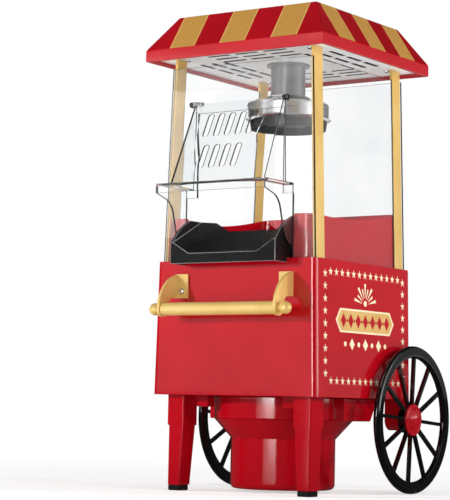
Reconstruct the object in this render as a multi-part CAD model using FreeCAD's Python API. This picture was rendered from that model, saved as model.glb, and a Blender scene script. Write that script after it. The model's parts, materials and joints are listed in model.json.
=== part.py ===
import FreeCAD, Part
import math
import os

# Carnival-cart popcorn maker: a hot-air popper in a red base, with a clear cabinet, a striped
# canopy, two front legs and two spoked rear wheels. Millimetres, +Z up, the front faces -Y.
# The model is laid out about the middle of the base box, with the floor at z = 0, and is moved
# at the end so that the origin lies on the floor under the middle of the whole object.

V = FreeCAD.Vector

# General fits
FIT_GAP = 0.3
RUN_GAP = 0.05
SEAT_GAP = 0.02

# Base box, drafted in X only
BASE_W_BOTTOM = 173.4
BASE_W_TOP = 167.9
BASE_DEPTH = 165.6
BASE_BOTTOM_Z = 85.6
BASE_HEIGHT = 119.4
BASE_CORNER_R = 5.0
BASE_WALL = 2.5
FLOOR_T = 3.0

# Clear cabinet on the base
CABINET_W_BOTTOM = 161.0
CABINET_W_TOP = 149.0
CABINET_DEPTH = 156.0
CABINET_HEIGHT = 185.7
PANEL_T = 2.5
PANEL_TOP_DROP = 9.7
POST_T = 3.0
POST_WIDTH = 14.0
SERVING_OPENING_HALF = 57.5
SERVING_OPENING_H = 57.0
HOOD_OPENING_HALF = 45.5
HOOD_OPENING_H = 76.0

# Canopy
CANOPY_W = 190.5
CANOPY_DEPTH = 187.0
FASCIA_H = 10.4
ROOF_RISE = 32.4
ROOF_TOP_W = 147.8
ROOF_TOP_DEPTH = 143.5
CANOPY_WALL = 2.4
CEILING_RECESS = 3.8
CEILING_T = 2.5
CEILING_SLOT_LENGTH = 24.0
CEILING_SLOT_WIDTH = 4.4
CEILING_SLOT_PITCH = 30.0
CEILING_SLOT_ROWS = 3
CEILING_ROW_STEP = 13.0
CEILING_FIRST_ROW = 44.0
BOSS_INSET_X = 29.75
BOSS_INSET_Y = 26.5
BOSS_R = 4.0

# Kettle under the ceiling
KETTLE_TUBE_R = 16.0
KETTLE_TUBE_LENGTH = 29.7
KETTLE_COLLAR_R = 20.0
KETTLE_COLLAR_T = 1.6
KETTLE_CAP_R = 22.0
KETTLE_CAP_H = 7.0
KETTLE_CAP_ROUND = 5.0
KETTLE_BODY_R = 36.3
KETTLE_BODY_H = 13.0
KETTLE_RIM_R = 38.5
KETTLE_RIM_T = 3.0
KETTLE_SKIRT_R = 35.0
KETTLE_SKIRT_DRAFT = 1.0
KETTLE_SKIRT_H = 8.0
KETTLE_SHEET = 1.2

# Hopper and chute
HOPPER_FRONT_H = 39.0
HOPPER_REAR_H = 52.0
HOPPER_DIP = 6.0
HOPPER_WALL = 2.0
HOPPER_CORNER_R = 10.0
CHUTE_HALF_W = 55.5
CHUTE_OVERHANG = 19.4
CHUTE_MOUTH_GAP = 6.5
CHUTE_APRON_DROP = 4.0
CHUTE_LIP_H = 5.0
CHUTE_LIP_HALF = 36.0
CHUTE_CORNER_H = 15.0
CHUTE_REAR_FLOOR_H = 29.0
CHUTE_REAR_FLOOR_HALF = 30.0
CHUTE_SIDE_H = 37.0
CHUTE_WALL = 2.5

# Hood over the chute
HOOD_T = 1.8
HOOD_HINGE_RISE = 141.0
HOOD_HINGE_STANDOFF = 3.8
HOOD_KNUCKLE_R = 2.4
HOOD_KNUCKLE_W = 10.0
HOOD_PIN_R = 1.1
HOOD_LUG_T = 3.2
HOOD_TOP_HALF = 48.0
HOOD_TOP_FACET_HALF = 38.0
HOOD_BOTTOM_HALF = 50.0
HOOD_BOTTOM_FACET_HALF = 24.5
HOOD_SIDE_REACH = 34.7
HOOD_FRONT_REACH = 43.0
HOOD_FLANGE_RISE = 57.5
HOOD_FLANGE_H = 8.0
HOOD_FLANGE_REACH = 45.0
HOOD_SIDE_GAP = 0.6
HOOD_GUSSET_RISE = 10.5
GUSSET_BROW = (0.36, 0.10)
GUSSET_ELBOW = (0.50, 0.21)
GUSSET_WAIST = (0.58, 0.38)
GUSSET_KNEE = (0.68, 0.69)
GUSSET_HEEL = (0.78, 0.90)
HOOD_SLOT_W = 6.0
HOOD_SLOT_LENGTH = 22.0
HOOD_SLOT_PITCH = 11.5
HOOD_UPPER_SLOTS = 5
HOOD_LOWER_SLOTS = 4
HOOD_UPPER_SLOT_RISE = 119.0
HOOD_LOWER_SLOT_RISE = 89.0

# Handle on the front wall
ROD_R = 5.8
ROD_STANDOFF = 21.9
ROD_DROP = 44.4
NECK_R = 3.0
EAR_T = 2.5
EAR_OUTER_X = 62.5
EAR_EYE_R = 7.0
EAR_BROW = (0.32, 0.68)
TAB_INNER_X = 48.5
TAB_T = 2.0
TAB_BOTTOM_RISE = 10.8
TAB_TOP_RISE = 32.4
TAB_SCREW_X = 55.0
TAB_SCREW_RISE = 17.2
KNOB_R = 5.5
KNOB_STANDOFF = 6.2
KNOB_COLLAR_R = 4.0

# Legs, feet and wheels
LEG_INSET = 10.2
LEG_SETBACK = 9.6
LEG_TOP_W = 18.5
LEG_TOP_DEPTH = 21.6
LEG_STEP_Z = 58.4
LEG_STEP = 1.0
LEG_BOTTOM_W = 13.5
LEG_BOTTOM_DEPTH = 17.0
LEG_EDGE_R = 2.0
LEG_PAD_W = 18.0
LEG_PAD_DEPTH = 10.4
LEG_PAD_H = 10.1
FOOT_H = 5.0
FOOT_W = 13.0
FOOT_DEPTH = 15.0
WHEEL_R = 67.25
AXLE_SETBACK = 11.7
WHEEL_GAP = 5.3
WHEEL_WIDTH = 6.0
RIM_DEPTH = 11.0
RIM_EDGE_R = 2.8
SPOKE_COUNT = 12
SPOKE_TURN = 4.0
SPOKE_WIDTH = 3.0
SPOKE_T = 3.2
HUB_R = 12.0
HUB_REACH = 3.2
HUB_RECESS_R = 9.0
HUB_RECESS_DEPTH = 4.0
CAP_R = 14.5
CAP_FLANGE_T = 2.0
CAP_DOME_R = 11.6
CAP_DOME_H = 4.0
AXLE_R = 3.0
AXLE_HEAD_R = 5.5
AXLE_HEAD_T = 2.0
CLIP_R = 6.5
CLIP_T = 1.0
BRACKET_INSET = 15.2
BRACKET_T = 14.5
BRACKET_R = 10.0

# Lower tray and motor tub
STACK_Y = 1.8
TRAY_R = 62.9
TRAY_SIDE_INSET = 13.9
TRAY_FRONT_REACH = 13.5
TRAY_REAR_TOP_REACH = 44.8
TRAY_REAR_LOW_REACH = 32.6
TRAY_H = 20.6
TRAY_WALL = 2.5
TUB_R = 47.5
TUB_STEP_Z = 48.0
TUB_BOTTOM_Z = 2.5
TUB_EDGE_R = 5.0
TUB_WALL = 2.5
TUB_LEDGE = 3.5
TUB_VENTS = 12
TUB_VENT_W = 3.0

# Blower and popping stack, all on one upright axis
DUCT_R = 46.0
DUCT_WALL = 2.0
DUCT_LEDGE = 2.5
DUCT_LEDGE_H = 11.0
CHAMBER_R = 38.0
CHAMBER_WALL = 1.0
CHAMBER_DEPTH = 87.0
CHAMBER_FLANGE_R = 43.5
CHAMBER_FLANGE_T = 1.2
CHAMBER_VENTS = 16
CHAMBER_VENT_W = 2.4
CHAMBER_VENT_H = 12.0
CHAMBER_VENT_RISE = 5.0
HEATER_PLATE_T = 1.2
HEATER_COIL_R = 28.0
HEATER_WIRE_R = 3.5
THERMOSTAT_R = 6.0
THERMOSTAT_H = 6.0
FUSE_R = 2.0
FUSE_LENGTH = 12.0
MOUNT_Z = 38.5
MOUNT_T = 2.5
MOUNT_WINDOWS = 6
MOUNT_WINDOW_R = 9.0
MOTOR_R = 17.0
MOTOR_LENGTH = 28.0
MOTOR_NOSE_R = 5.5
SHAFT_R = 1.5
FAN_R = 36.0
FAN_GAP = 5.0
FAN_DISC_T = 1.5
FAN_H = 14.0
FAN_HUB_R = 6.0
FAN_BLADES = 10
FAN_BLADE_T = 1.5

# Rocker switch and cord inlet on the rear wall
SWITCH_X = 45.0
SWITCH_RISE = 29.4
SWITCH_W = 13.0
SWITCH_H = 19.0
SWITCH_BODY_DEPTH = 14.0
SWITCH_FLANGE = 1.6
SWITCH_WALL = 1.2
ROCKER_TILT = 8.0
ROCKER_PIN_R = 1.0
INLET_X = -45.0
INLET_RISE = 22.4
INLET_R = 5.5
INLET_BORE_R = 4.0
INLET_FLANGE_R = 8.0
INLET_FLANGE_T = 3.0

# Screws
SCREW_R = 1.5
SCREW_HEAD_R = 3.0
SCREW_HEAD_H = 1.8
SCREW_LENGTH = 9.0
FLOOR_SCREW_INSET = 9.2
FLOOR_SCREW_Y = 30.0
FLOOR_BOSS_H = 14.0

# Worked-out levels and places
BASE_TOP_Z = BASE_BOTTOM_Z + BASE_HEIGHT
BASE_INNER_R = BASE_CORNER_R - BASE_WALL
BASE_FOOT_X = BASE_W_BOTTOM / 2
LEG_OUTER_X = BASE_FOOT_X - LEG_INSET
WHEEL_INNER_X = BASE_FOOT_X + WHEEL_GAP
HUB_OUTER_X = WHEEL_INNER_X + HUB_REACH
BRACKET_INNER_X = BASE_FOOT_X - BRACKET_INSET
FLOOR_SCREW_X = BASE_FOOT_X - FLOOR_SCREW_INSET
TRAY_HALF_W = BASE_FOOT_X - TRAY_SIDE_INSET
FRONT_Y = -BASE_DEPTH / 2
REAR_Y = BASE_DEPTH / 2
PANEL_FRONT_Y = -CABINET_DEPTH / 2
POST_TOP_Z = BASE_TOP_Z + CABINET_HEIGHT
PANEL_TOP_Z = POST_TOP_Z - PANEL_TOP_DROP
CEILING_Z = POST_TOP_Z + FIT_GAP
CEILING_TOP_Z = CEILING_Z + CEILING_T
FASCIA_Z = CEILING_Z - CEILING_RECESS
FASCIA_TOP_Z = FASCIA_Z + FASCIA_H
ROOF_TOP_Z = FASCIA_TOP_Z + ROOF_RISE
BOSS_X = CANOPY_W / 2 - BOSS_INSET_X
BOSS_Y = CANOPY_DEPTH / 2 - BOSS_INSET_Y
SCREW_HOLE_R = SCREW_R + RUN_GAP
CHUTE_REAR_Y = STACK_Y - CHAMBER_FLANGE_R - CHUTE_MOUTH_GAP
ROD_Y = FRONT_Y - ROD_STANDOFF
ROD_Z = BASE_TOP_Z - ROD_DROP
TAB_BOTTOM_Z = ROD_Z + TAB_BOTTOM_RISE
TAB_TOP_Z = ROD_Z + TAB_TOP_RISE
TAB_SCREW_Z = ROD_Z + TAB_SCREW_RISE
EAR_INNER_X = EAR_OUTER_X - EAR_T
HINGE_Y = PANEL_FRONT_Y - HOOD_HINGE_STANDOFF
HOOD_HINGE_Z = BASE_TOP_Z + HOOD_HINGE_RISE
HOOD_FLANGE_Z = BASE_TOP_Z + HOOD_FLANGE_RISE
HOOD_GUSSET_Z = BASE_TOP_Z + HOOD_GUSSET_RISE
HOOD_UPPER_SLOT_Z = BASE_TOP_Z + HOOD_UPPER_SLOT_RISE
HOOD_LOWER_SLOT_Z = BASE_TOP_Z + HOOD_LOWER_SLOT_RISE
HOOD_BACK_Y = PANEL_FRONT_Y - FIT_GAP
GUSSET_INNER_X = CHUTE_HALF_W + HOOD_SIDE_GAP
GUSSET_OUTER_X = GUSSET_INNER_X + HOOD_T
FLANGE_FRONT_Y = PANEL_FRONT_Y - HOOD_FLANGE_REACH
FLANGE_TOP_Z = HOOD_FLANGE_Z + HOOD_FLANGE_H
LEG_FRONT_Y = FRONT_Y + LEG_SETBACK
WHEEL_Y = REAR_Y - AXLE_SETBACK
AXLE_Z = WHEEL_R
WHEEL_MID_X = WHEEL_INNER_X + WHEEL_WIDTH / 2
CAP_OUTER_X = HUB_OUTER_X + CAP_FLANGE_T + CAP_DOME_H
TRAY_Z = BASE_BOTTOM_Z - TRAY_H
DECK_Z = BASE_TOP_Z - BASE_WALL
FLOOR_TOP_Z = BASE_BOTTOM_Z + FLOOR_T
FLOOR_SCREW_HEAD_Z = BASE_BOTTOM_Z + SCREW_HEAD_H
DUCT_INNER_R = DUCT_R - DUCT_WALL
STACK_HOLE_R = DUCT_INNER_R - DUCT_LEDGE
CHAMBER_BOTTOM_Z = BASE_TOP_Z - CHAMBER_DEPTH
MOUNT_TOP_Z = MOUNT_Z + MOUNT_T
KETTLE_CAP_TOP_Z = CEILING_Z - KETTLE_TUBE_LENGTH
KETTLE_BODY_TOP_Z = KETTLE_CAP_TOP_Z - KETTLE_CAP_H
KETTLE_RIM_TOP_Z = KETTLE_BODY_TOP_Z - KETTLE_BODY_H
KETTLE_SKIRT_TOP_Z = KETTLE_RIM_TOP_Z - KETTLE_RIM_T
HEATER_Z = FLOOR_TOP_Z + DUCT_LEDGE_H
HEATER_TOP_Z = HEATER_Z + HEATER_PLATE_T
FAN_Z = MOUNT_TOP_Z + FAN_GAP
SWITCH_Z = BASE_BOTTOM_Z + SWITCH_RISE
INLET_Z = BASE_BOTTOM_Z + INLET_RISE
MIDDLE_Y = (WHEEL_Y + WHEEL_R + FLANGE_FRONT_Y) / 2


def base_half(z):
    """Half width of the drafted base box at height z."""
    share = (z - BASE_BOTTOM_Z) / BASE_HEIGHT
    return (BASE_W_BOTTOM + (BASE_W_TOP - BASE_W_BOTTOM) * share) / 2


def cabinet_half(z):
    """Half width of the drafted cabinet at height z."""
    share = (z - BASE_TOP_Z) / CABINET_HEIGHT
    return (CABINET_W_BOTTOM + (CABINET_W_TOP - CABINET_W_BOTTOM) * share) / 2


def rounded_rect(half_x, half_y, radius, z, mid_x=0.0, mid_y=0.0):
    """Level rectangle with rounded corners, as a closed wire."""
    flat_x = half_x - radius
    flat_y = half_y - radius
    centers = ((flat_x, -flat_y), (flat_x, flat_y), (-flat_x, flat_y), (-flat_x, -flat_y))
    arcs = []
    for quarter, (corner_x, corner_y) in enumerate(centers):
        points = []
        for step in range(3):
            angle = math.radians(-90 + 90 * quarter + 45 * step)
            x = mid_x + corner_x + radius * math.cos(angle)
            y = mid_y + corner_y + radius * math.sin(angle)
            points.append(V(x, y, z))
        arcs.append(points)
    edges = []
    for quarter in range(4):
        edges.append(Part.Arc(*arcs[quarter]).toShape())
        following = arcs[(quarter + 1) % 4]
        edges.append(Part.LineSegment(arcs[quarter][2], following[0]).toShape())
    return Part.Wire(edges)


def loft(*wires):
    return Part.makeLoft(list(wires), True, True)


def closed(points):
    return Part.makePolygon(points + [points[0]])


def frustum(low, high):
    """Solid between two polygons with as many corners each, whose sides are flat."""
    faces = [Part.Face(closed(low)), Part.Face(closed(high))]
    for index in range(len(low)):
        after = (index + 1) % len(low)
        faces.append(Part.Face(closed([low[index], low[after], high[after], high[index]])))
    solid = Part.Solid(Part.Shell(faces))
    if solid.Volume < 0:
        solid.reverse()
    return solid


def prism(wire, along):
    return Part.Face(wire).extrude(along)


def block(x0, x1, y0, y1, z0, z1):
    return Part.makeBox(x1 - x0, y1 - y0, z1 - z0, V(x0, y0, z0))


def upright(radius, z0, z1, x=0.0, y=0.0):
    return Part.makeCylinder(radius, z1 - z0, V(x, y, z0))


def crosswise(radius, x0, x1, y, z):
    return Part.makeCylinder(radius, x1 - x0, V(x0, y, z), V(1, 0, 0))


def lengthwise(radius, y0, y1, x, z):
    return Part.makeCylinder(radius, y1 - y0, V(x, y0, z), V(0, 1, 0))


def turned(profile, x=0.0, y=0.0):
    """Solid of revolution about an upright axis, from (radius, z) points."""
    points = []
    for radius, z in profile:
        points.append(V(x + radius, y, z))
    return Part.Face(closed(points)).revolve(V(x, y, 0), V(0, 0, 1), 360)


def mirrored(shape):
    return shape.mirror(V(0, 0, 0), V(1, 0, 0))


def four_ways(shape):
    """The shape and its copies mirrored in X, in Y and in both."""
    pair = [shape, mirrored(shape)]
    copies = []
    for piece in pair:
        copies.append(piece)
        copies.append(piece.mirror(V(0, 0, 0), V(0, 1, 0)))
    return copies


def cut_all(shape, cutters):
    for cutter in cutters:
        shape = shape.cut(cutter)
    return shape


def fuse_all(shapes):
    body = shapes[0]
    for shape in shapes[1:]:
        body = body.fuse(shape)
    return body.removeSplitter()


def screw_up(x, y, head_z):
    """Pan-head screw pointing up, with its head under head_z."""
    head = upright(SCREW_HEAD_R, head_z - SCREW_HEAD_H, head_z, x, y)
    shank = upright(SCREW_R, head_z, head_z + SCREW_LENGTH, x, y)
    return head.fuse(shank)


# Base

def make_base_shell():
    half_depth = BASE_DEPTH / 2
    inner_depth = half_depth - BASE_WALL
    outer = loft(
        rounded_rect(base_half(BASE_BOTTOM_Z), half_depth, BASE_CORNER_R, BASE_BOTTOM_Z),
        rounded_rect(base_half(BASE_TOP_Z), half_depth, BASE_CORNER_R, BASE_TOP_Z),
    )
    hollow = loft(
        rounded_rect(base_half(BASE_BOTTOM_Z) - BASE_WALL, inner_depth, BASE_INNER_R, BASE_BOTTOM_Z),
        rounded_rect(base_half(DECK_Z) - BASE_WALL, inner_depth, BASE_INNER_R, DECK_Z),
    )
    shell = outer.cut(hollow)
    boss_top = FLOOR_TOP_Z + FLOOR_BOSS_H
    boss = block(
        FLOOR_SCREW_X - BOSS_R, base_half(boss_top) - BASE_WALL / 2,
        FLOOR_SCREW_Y - BOSS_R, FLOOR_SCREW_Y + BOSS_R,
        FLOOR_TOP_Z, boss_top,
    )
    shell = fuse_all([shell] + four_ways(boss))
    boss_hole = upright(SCREW_HOLE_R, FLOOR_TOP_Z, boss_top - FLOOR_T, FLOOR_SCREW_X, FLOOR_SCREW_Y)
    cutters = four_ways(boss_hole)
    cutters.append(upright(CHAMBER_R + FIT_GAP, DECK_Z, BASE_TOP_Z, 0, STACK_Y))
    tab_hole = lengthwise(SCREW_HOLE_R, FRONT_Y, FRONT_Y + BASE_WALL, TAB_SCREW_X, TAB_SCREW_Z)
    cutters += [tab_hole, mirrored(tab_hole)]
    cutters.append(switch_block(SWITCH_W + FIT_GAP, SWITCH_H + FIT_GAP, REAR_Y - BASE_WALL, REAR_Y))
    cutters.append(lengthwise(INLET_R + SEAT_GAP, REAR_Y - BASE_WALL, REAR_Y, INLET_X, INLET_Z))
    return cut_all(shell, cutters)


def make_base_floor():
    half_x = base_half(FLOOR_TOP_Z) - BASE_WALL - FIT_GAP
    half_y = BASE_DEPTH / 2 - BASE_WALL - FIT_GAP
    plate = prism(rounded_rect(half_x, half_y, BASE_INNER_R, BASE_BOTTOM_Z), V(0, 0, FLOOR_T))
    hole = upright(SCREW_HOLE_R, BASE_BOTTOM_Z, FLOOR_TOP_Z, FLOOR_SCREW_X, FLOOR_SCREW_Y)
    sink = upright(SCREW_HEAD_R + FIT_GAP, BASE_BOTTOM_Z, FLOOR_SCREW_HEAD_Z, FLOOR_SCREW_X, FLOOR_SCREW_Y)
    opening = upright(STACK_HOLE_R, BASE_BOTTOM_Z, FLOOR_TOP_Z, 0, STACK_Y)
    return cut_all(plate, four_ways(hole) + four_ways(sink) + [opening])


def make_floor_screws():
    return Part.makeCompound(four_ways(screw_up(FLOOR_SCREW_X, FLOOR_SCREW_Y, FLOOR_SCREW_HEAD_Z)))


def tray_form(inset):
    """Round drum crossed by a wider box with a sloping rear, drawn in by inset on sides and floor."""
    floor_z = TRAY_Z + inset
    drum = upright(TRAY_R - inset, floor_z, BASE_BOTTOM_Z, 0, STACK_Y)
    half = TRAY_HALF_W - inset
    front = STACK_Y - TRAY_FRONT_REACH + inset
    ends = []
    for reach, z in ((TRAY_REAR_LOW_REACH, floor_z), (TRAY_REAR_TOP_REACH, BASE_BOTTOM_Z)):
        rear = STACK_Y + reach - inset
        ends.append([V(-half, front, z), V(half, front, z), V(half, rear, z), V(-half, rear, z)])
    return fuse_all([drum, frustum(*ends)])


def make_lower_tray():
    opening = upright(STACK_HOLE_R, TRAY_Z, TRAY_Z + TRAY_WALL, 0, STACK_Y)
    return tray_form(0).cut(tray_form(TRAY_WALL)).cut(opening)


def tub_form(inset):
    """Round cup that flares to the tray's drum, drawn in by inset on its sides and floor."""
    bottom_z = TUB_BOTTOM_Z + inset
    cup = upright(TUB_R - inset, bottom_z, TUB_STEP_Z, 0, STACK_Y)
    edges = []
    for edge in cup.Edges:
        if edge.BoundBox.ZMax < bottom_z + SEAT_GAP:
            edges.append(edge)
    cup = cup.makeFillet(TUB_EDGE_R - inset / 2, edges)
    flare = Part.makeCone(TUB_R - inset, TRAY_R - inset, TRAY_Z - TUB_STEP_Z, V(0, STACK_Y, TUB_STEP_Z))
    return cup.fuse(flare)


def make_motor_tub():
    tub = tub_form(0).cut(tub_form(TUB_WALL))
    inner_r = TUB_R - TUB_WALL
    ledge = upright(inner_r + TUB_WALL / 2, MOUNT_Z - TUB_LEDGE, MOUNT_Z, 0, STACK_Y)
    ledge = ledge.cut(upright(inner_r - TUB_LEDGE, MOUNT_Z - TUB_LEDGE, MOUNT_Z, 0, STACK_Y))
    tub = tub.fuse(ledge)
    vents = []
    for index in range(TUB_VENTS):
        vent = block(MOTOR_R, inner_r - TUB_EDGE_R, -TUB_VENT_W / 2, TUB_VENT_W / 2,
                     TUB_BOTTOM_Z, TUB_BOTTOM_Z + TUB_WALL)
        vent.rotate(V(0, 0, 0), V(0, 0, 1), 360 * index / TUB_VENTS)
        vent.translate(V(0, STACK_Y, 0))
        vents.append(vent)
    return cut_all(tub, vents)


# Legs, feet, axles and wheels

def leg_section(inset, width, depth, z):
    mid_x = LEG_OUTER_X - inset - width / 2
    mid_y = LEG_FRONT_Y + inset + depth / 2
    return rounded_rect(width / 2, depth / 2, LEG_EDGE_R, z, mid_x, mid_y)


def make_leg():
    upper = prism(leg_section(0, LEG_TOP_W, LEG_TOP_DEPTH, LEG_STEP_Z),
                  V(0, 0, BASE_BOTTOM_Z - LEG_STEP_Z))
    lower = loft(
        leg_section(LEG_STEP, LEG_BOTTOM_W, LEG_BOTTOM_DEPTH, FOOT_H),
        leg_section(LEG_STEP, LEG_TOP_W - 2 * LEG_STEP, LEG_TOP_DEPTH - 2 * LEG_STEP, LEG_STEP_Z),
    )
    pad_x = LEG_OUTER_X - LEG_TOP_W
    rear_y = LEG_FRONT_Y + LEG_TOP_DEPTH
    pad = block(pad_x - LEG_PAD_W, pad_x + LEG_TOP_W / 2, rear_y - LEG_PAD_DEPTH, rear_y,
                BASE_BOTTOM_Z - LEG_PAD_H, BASE_BOTTOM_Z)
    return fuse_all([upper, lower, pad])


def make_foot_pad():
    inset = LEG_STEP + (LEG_BOTTOM_W - FOOT_W) / 2
    return prism(leg_section(inset, FOOT_W, FOOT_DEPTH, 0), V(0, 0, FOOT_H))


def make_axle_bracket():
    outer_x = BRACKET_INNER_X + BRACKET_T
    lug = crosswise(BRACKET_R, BRACKET_INNER_X, outer_x, WHEEL_Y, AXLE_Z)
    stem = block(BRACKET_INNER_X, outer_x, WHEEL_Y - BRACKET_R, REAR_Y - BASE_WALL - FIT_GAP,
                 AXLE_Z, BASE_BOTTOM_Z)
    bore = crosswise(AXLE_R + SEAT_GAP, BRACKET_INNER_X, outer_x, WHEEL_Y, AXLE_Z)
    return fuse_all([lug, stem]).cut(bore)


def make_axle_pin():
    head = crosswise(AXLE_HEAD_R, BRACKET_INNER_X - AXLE_HEAD_T, BRACKET_INNER_X, WHEEL_Y, AXLE_Z)
    pin = crosswise(AXLE_R, BRACKET_INNER_X, HUB_OUTER_X, WHEEL_Y, AXLE_Z)
    return head.fuse(pin)


def make_axle_clip():
    clip_x = HUB_OUTER_X - HUB_RECESS_DEPTH + FIT_GAP
    ring = crosswise(CLIP_R, clip_x, clip_x + CLIP_T, WHEEL_Y, AXLE_Z)
    return ring.cut(crosswise(AXLE_R + SEAT_GAP, clip_x, clip_x + CLIP_T, WHEEL_Y, AXLE_Z))


def make_rim():
    """Rounded rim, turned about the wheel's axis."""
    section = rounded_rect(WHEEL_WIDTH / 2, RIM_DEPTH / 2, RIM_EDGE_R, AXLE_Z,
                           WHEEL_MID_X, WHEEL_Y + WHEEL_R - RIM_DEPTH / 2)
    return Part.Face(section).revolve(V(0, WHEEL_Y, AXLE_Z), V(1, 0, 0), 360)


def make_wheel():
    hub_inner_x = BRACKET_INNER_X + BRACKET_T + FIT_GAP
    pieces = [make_rim(), crosswise(HUB_R, hub_inner_x, HUB_OUTER_X, WHEEL_Y, AXLE_Z)]
    spoke_end = WHEEL_R - RIM_DEPTH / 2
    for index in range(SPOKE_COUNT):
        spoke = block(HUB_OUTER_X - SPOKE_T, HUB_OUTER_X,
                      WHEEL_Y - SPOKE_WIDTH / 2, WHEEL_Y + SPOKE_WIDTH / 2,
                      AXLE_Z + HUB_RECESS_R + SPOKE_WIDTH / 2, AXLE_Z + spoke_end)
        spoke.rotate(V(0, WHEEL_Y, AXLE_Z), V(1, 0, 0), 360 * index / SPOKE_COUNT - SPOKE_TURN)
        pieces.append(spoke)
    wheel = fuse_all(pieces)
    bore = crosswise(AXLE_R + RUN_GAP, hub_inner_x, HUB_OUTER_X, WHEEL_Y, AXLE_Z)
    recess = crosswise(HUB_RECESS_R, HUB_OUTER_X - HUB_RECESS_DEPTH, HUB_OUTER_X, WHEEL_Y, AXLE_Z)
    return cut_all(wheel, [bore, recess])


def make_hub_cap():
    """Domed cap with a flange and a hollow for the axle's end."""
    flange_x = HUB_OUTER_X + CAP_FLANGE_T
    sphere_r = (CAP_DOME_R ** 2 + CAP_DOME_H ** 2) / (2 * CAP_DOME_H)
    flange = crosswise(CAP_R, HUB_OUTER_X, flange_x, WHEEL_Y, AXLE_Z)
    flange = flange.makeChamfer(CAP_FLANGE_T / 2, [edge_at_x(flange, flange_x)])
    ball = Part.makeSphere(sphere_r, V(CAP_OUTER_X - sphere_r, WHEEL_Y, AXLE_Z))
    dome = ball.common(crosswise(CAP_R, flange_x - CAP_FLANGE_T / 2, CAP_OUTER_X, WHEEL_Y, AXLE_Z))
    dome = dome.common(crosswise(CAP_DOME_R + SEAT_GAP, HUB_OUTER_X, CAP_OUTER_X, WHEEL_Y, AXLE_Z))
    hollow = crosswise(AXLE_HEAD_R, HUB_OUTER_X, flange_x, WHEEL_Y, AXLE_Z)
    return fuse_all([flange, dome]).cut(hollow)


def edge_at_x(shape, x):
    """The one circular edge of a crosswise cylinder that lies at x."""
    for edge in shape.Edges:
        box = edge.BoundBox
        if abs(box.XMin - x) < SEAT_GAP and abs(box.XMax - x) < SEAT_GAP:
            return edge
    return None


# Handle

def make_handle_bracket():
    tab = block(TAB_INNER_X, EAR_OUTER_X, FRONT_Y - TAB_T, FRONT_Y, TAB_BOTTOM_Z, TAB_TOP_Z)
    x = EAR_INNER_X
    top = V(x, FRONT_Y, TAB_TOP_Z)
    front = V(x, ROD_Y - EAR_EYE_R, ROD_Z)
    under = V(x, ROD_Y, ROD_Z - EAR_EYE_R)
    back = V(x, ROD_Y + EAR_EYE_R, ROD_Z)
    heel = V(x, FRONT_Y - TAB_T - EAR_EYE_R, TAB_BOTTOM_Z)
    wall = V(x, FRONT_Y, TAB_BOTTOM_Z)
    brow = front + V(0, EAR_BROW[0] * (top.y - front.y), EAR_BROW[1] * (top.z - front.z))
    notch = V(x, (back.y + heel.y) / 2 - EAR_T / 2, (back.z + heel.z) / 2 + EAR_T)
    outline = Part.Wire([
        Part.Arc(top, brow, front).toShape(),
        Part.Arc(front, under, back).toShape(),
        Part.Arc(back, notch, heel).toShape(),
        Part.LineSegment(heel, wall).toShape(),
        Part.LineSegment(wall, top).toShape(),
    ])
    ear = prism(outline, V(EAR_T, 0, 0))
    eye = crosswise(NECK_R + RUN_GAP, EAR_INNER_X, EAR_OUTER_X, ROD_Y, ROD_Z)
    hole = lengthwise(SCREW_HOLE_R, FRONT_Y - TAB_T, FRONT_Y, TAB_SCREW_X, TAB_SCREW_Z)
    return fuse_all([tab, ear]).cut(eye).cut(hole)


def make_bracket_screw():
    head_y = FRONT_Y - TAB_T
    head = lengthwise(SCREW_HEAD_R, head_y - SCREW_HEAD_H, head_y, TAB_SCREW_X, TAB_SCREW_Z)
    shank = lengthwise(SCREW_R, head_y, head_y + SCREW_LENGTH, TAB_SCREW_X, TAB_SCREW_Z)
    return head.fuse(shank)


def make_handle_rod():
    grip_end = EAR_INNER_X - FIT_GAP
    neck_end = EAR_OUTER_X + FIT_GAP + KNOB_R
    grip = crosswise(ROD_R, -grip_end, grip_end, ROD_Y, ROD_Z)
    neck = crosswise(NECK_R, -neck_end, neck_end, ROD_Y, ROD_Z)
    return fuse_all([grip, neck])


def make_handle_knob():
    """Ball end with a flat collar beside the ear, bored for the neck."""
    near_x = EAR_OUTER_X + FIT_GAP
    ball = Part.makeSphere(KNOB_R, V(EAR_OUTER_X + KNOB_STANDOFF, ROD_Y, ROD_Z))
    collar = crosswise(KNOB_COLLAR_R, near_x, near_x + KNOB_R, ROD_Y, ROD_Z)
    bore = crosswise(NECK_R + SEAT_GAP, near_x, near_x + KNOB_R, ROD_Y, ROD_Z)
    return fuse_all([ball, collar]).cut(bore)


# Hopper and chute

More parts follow.
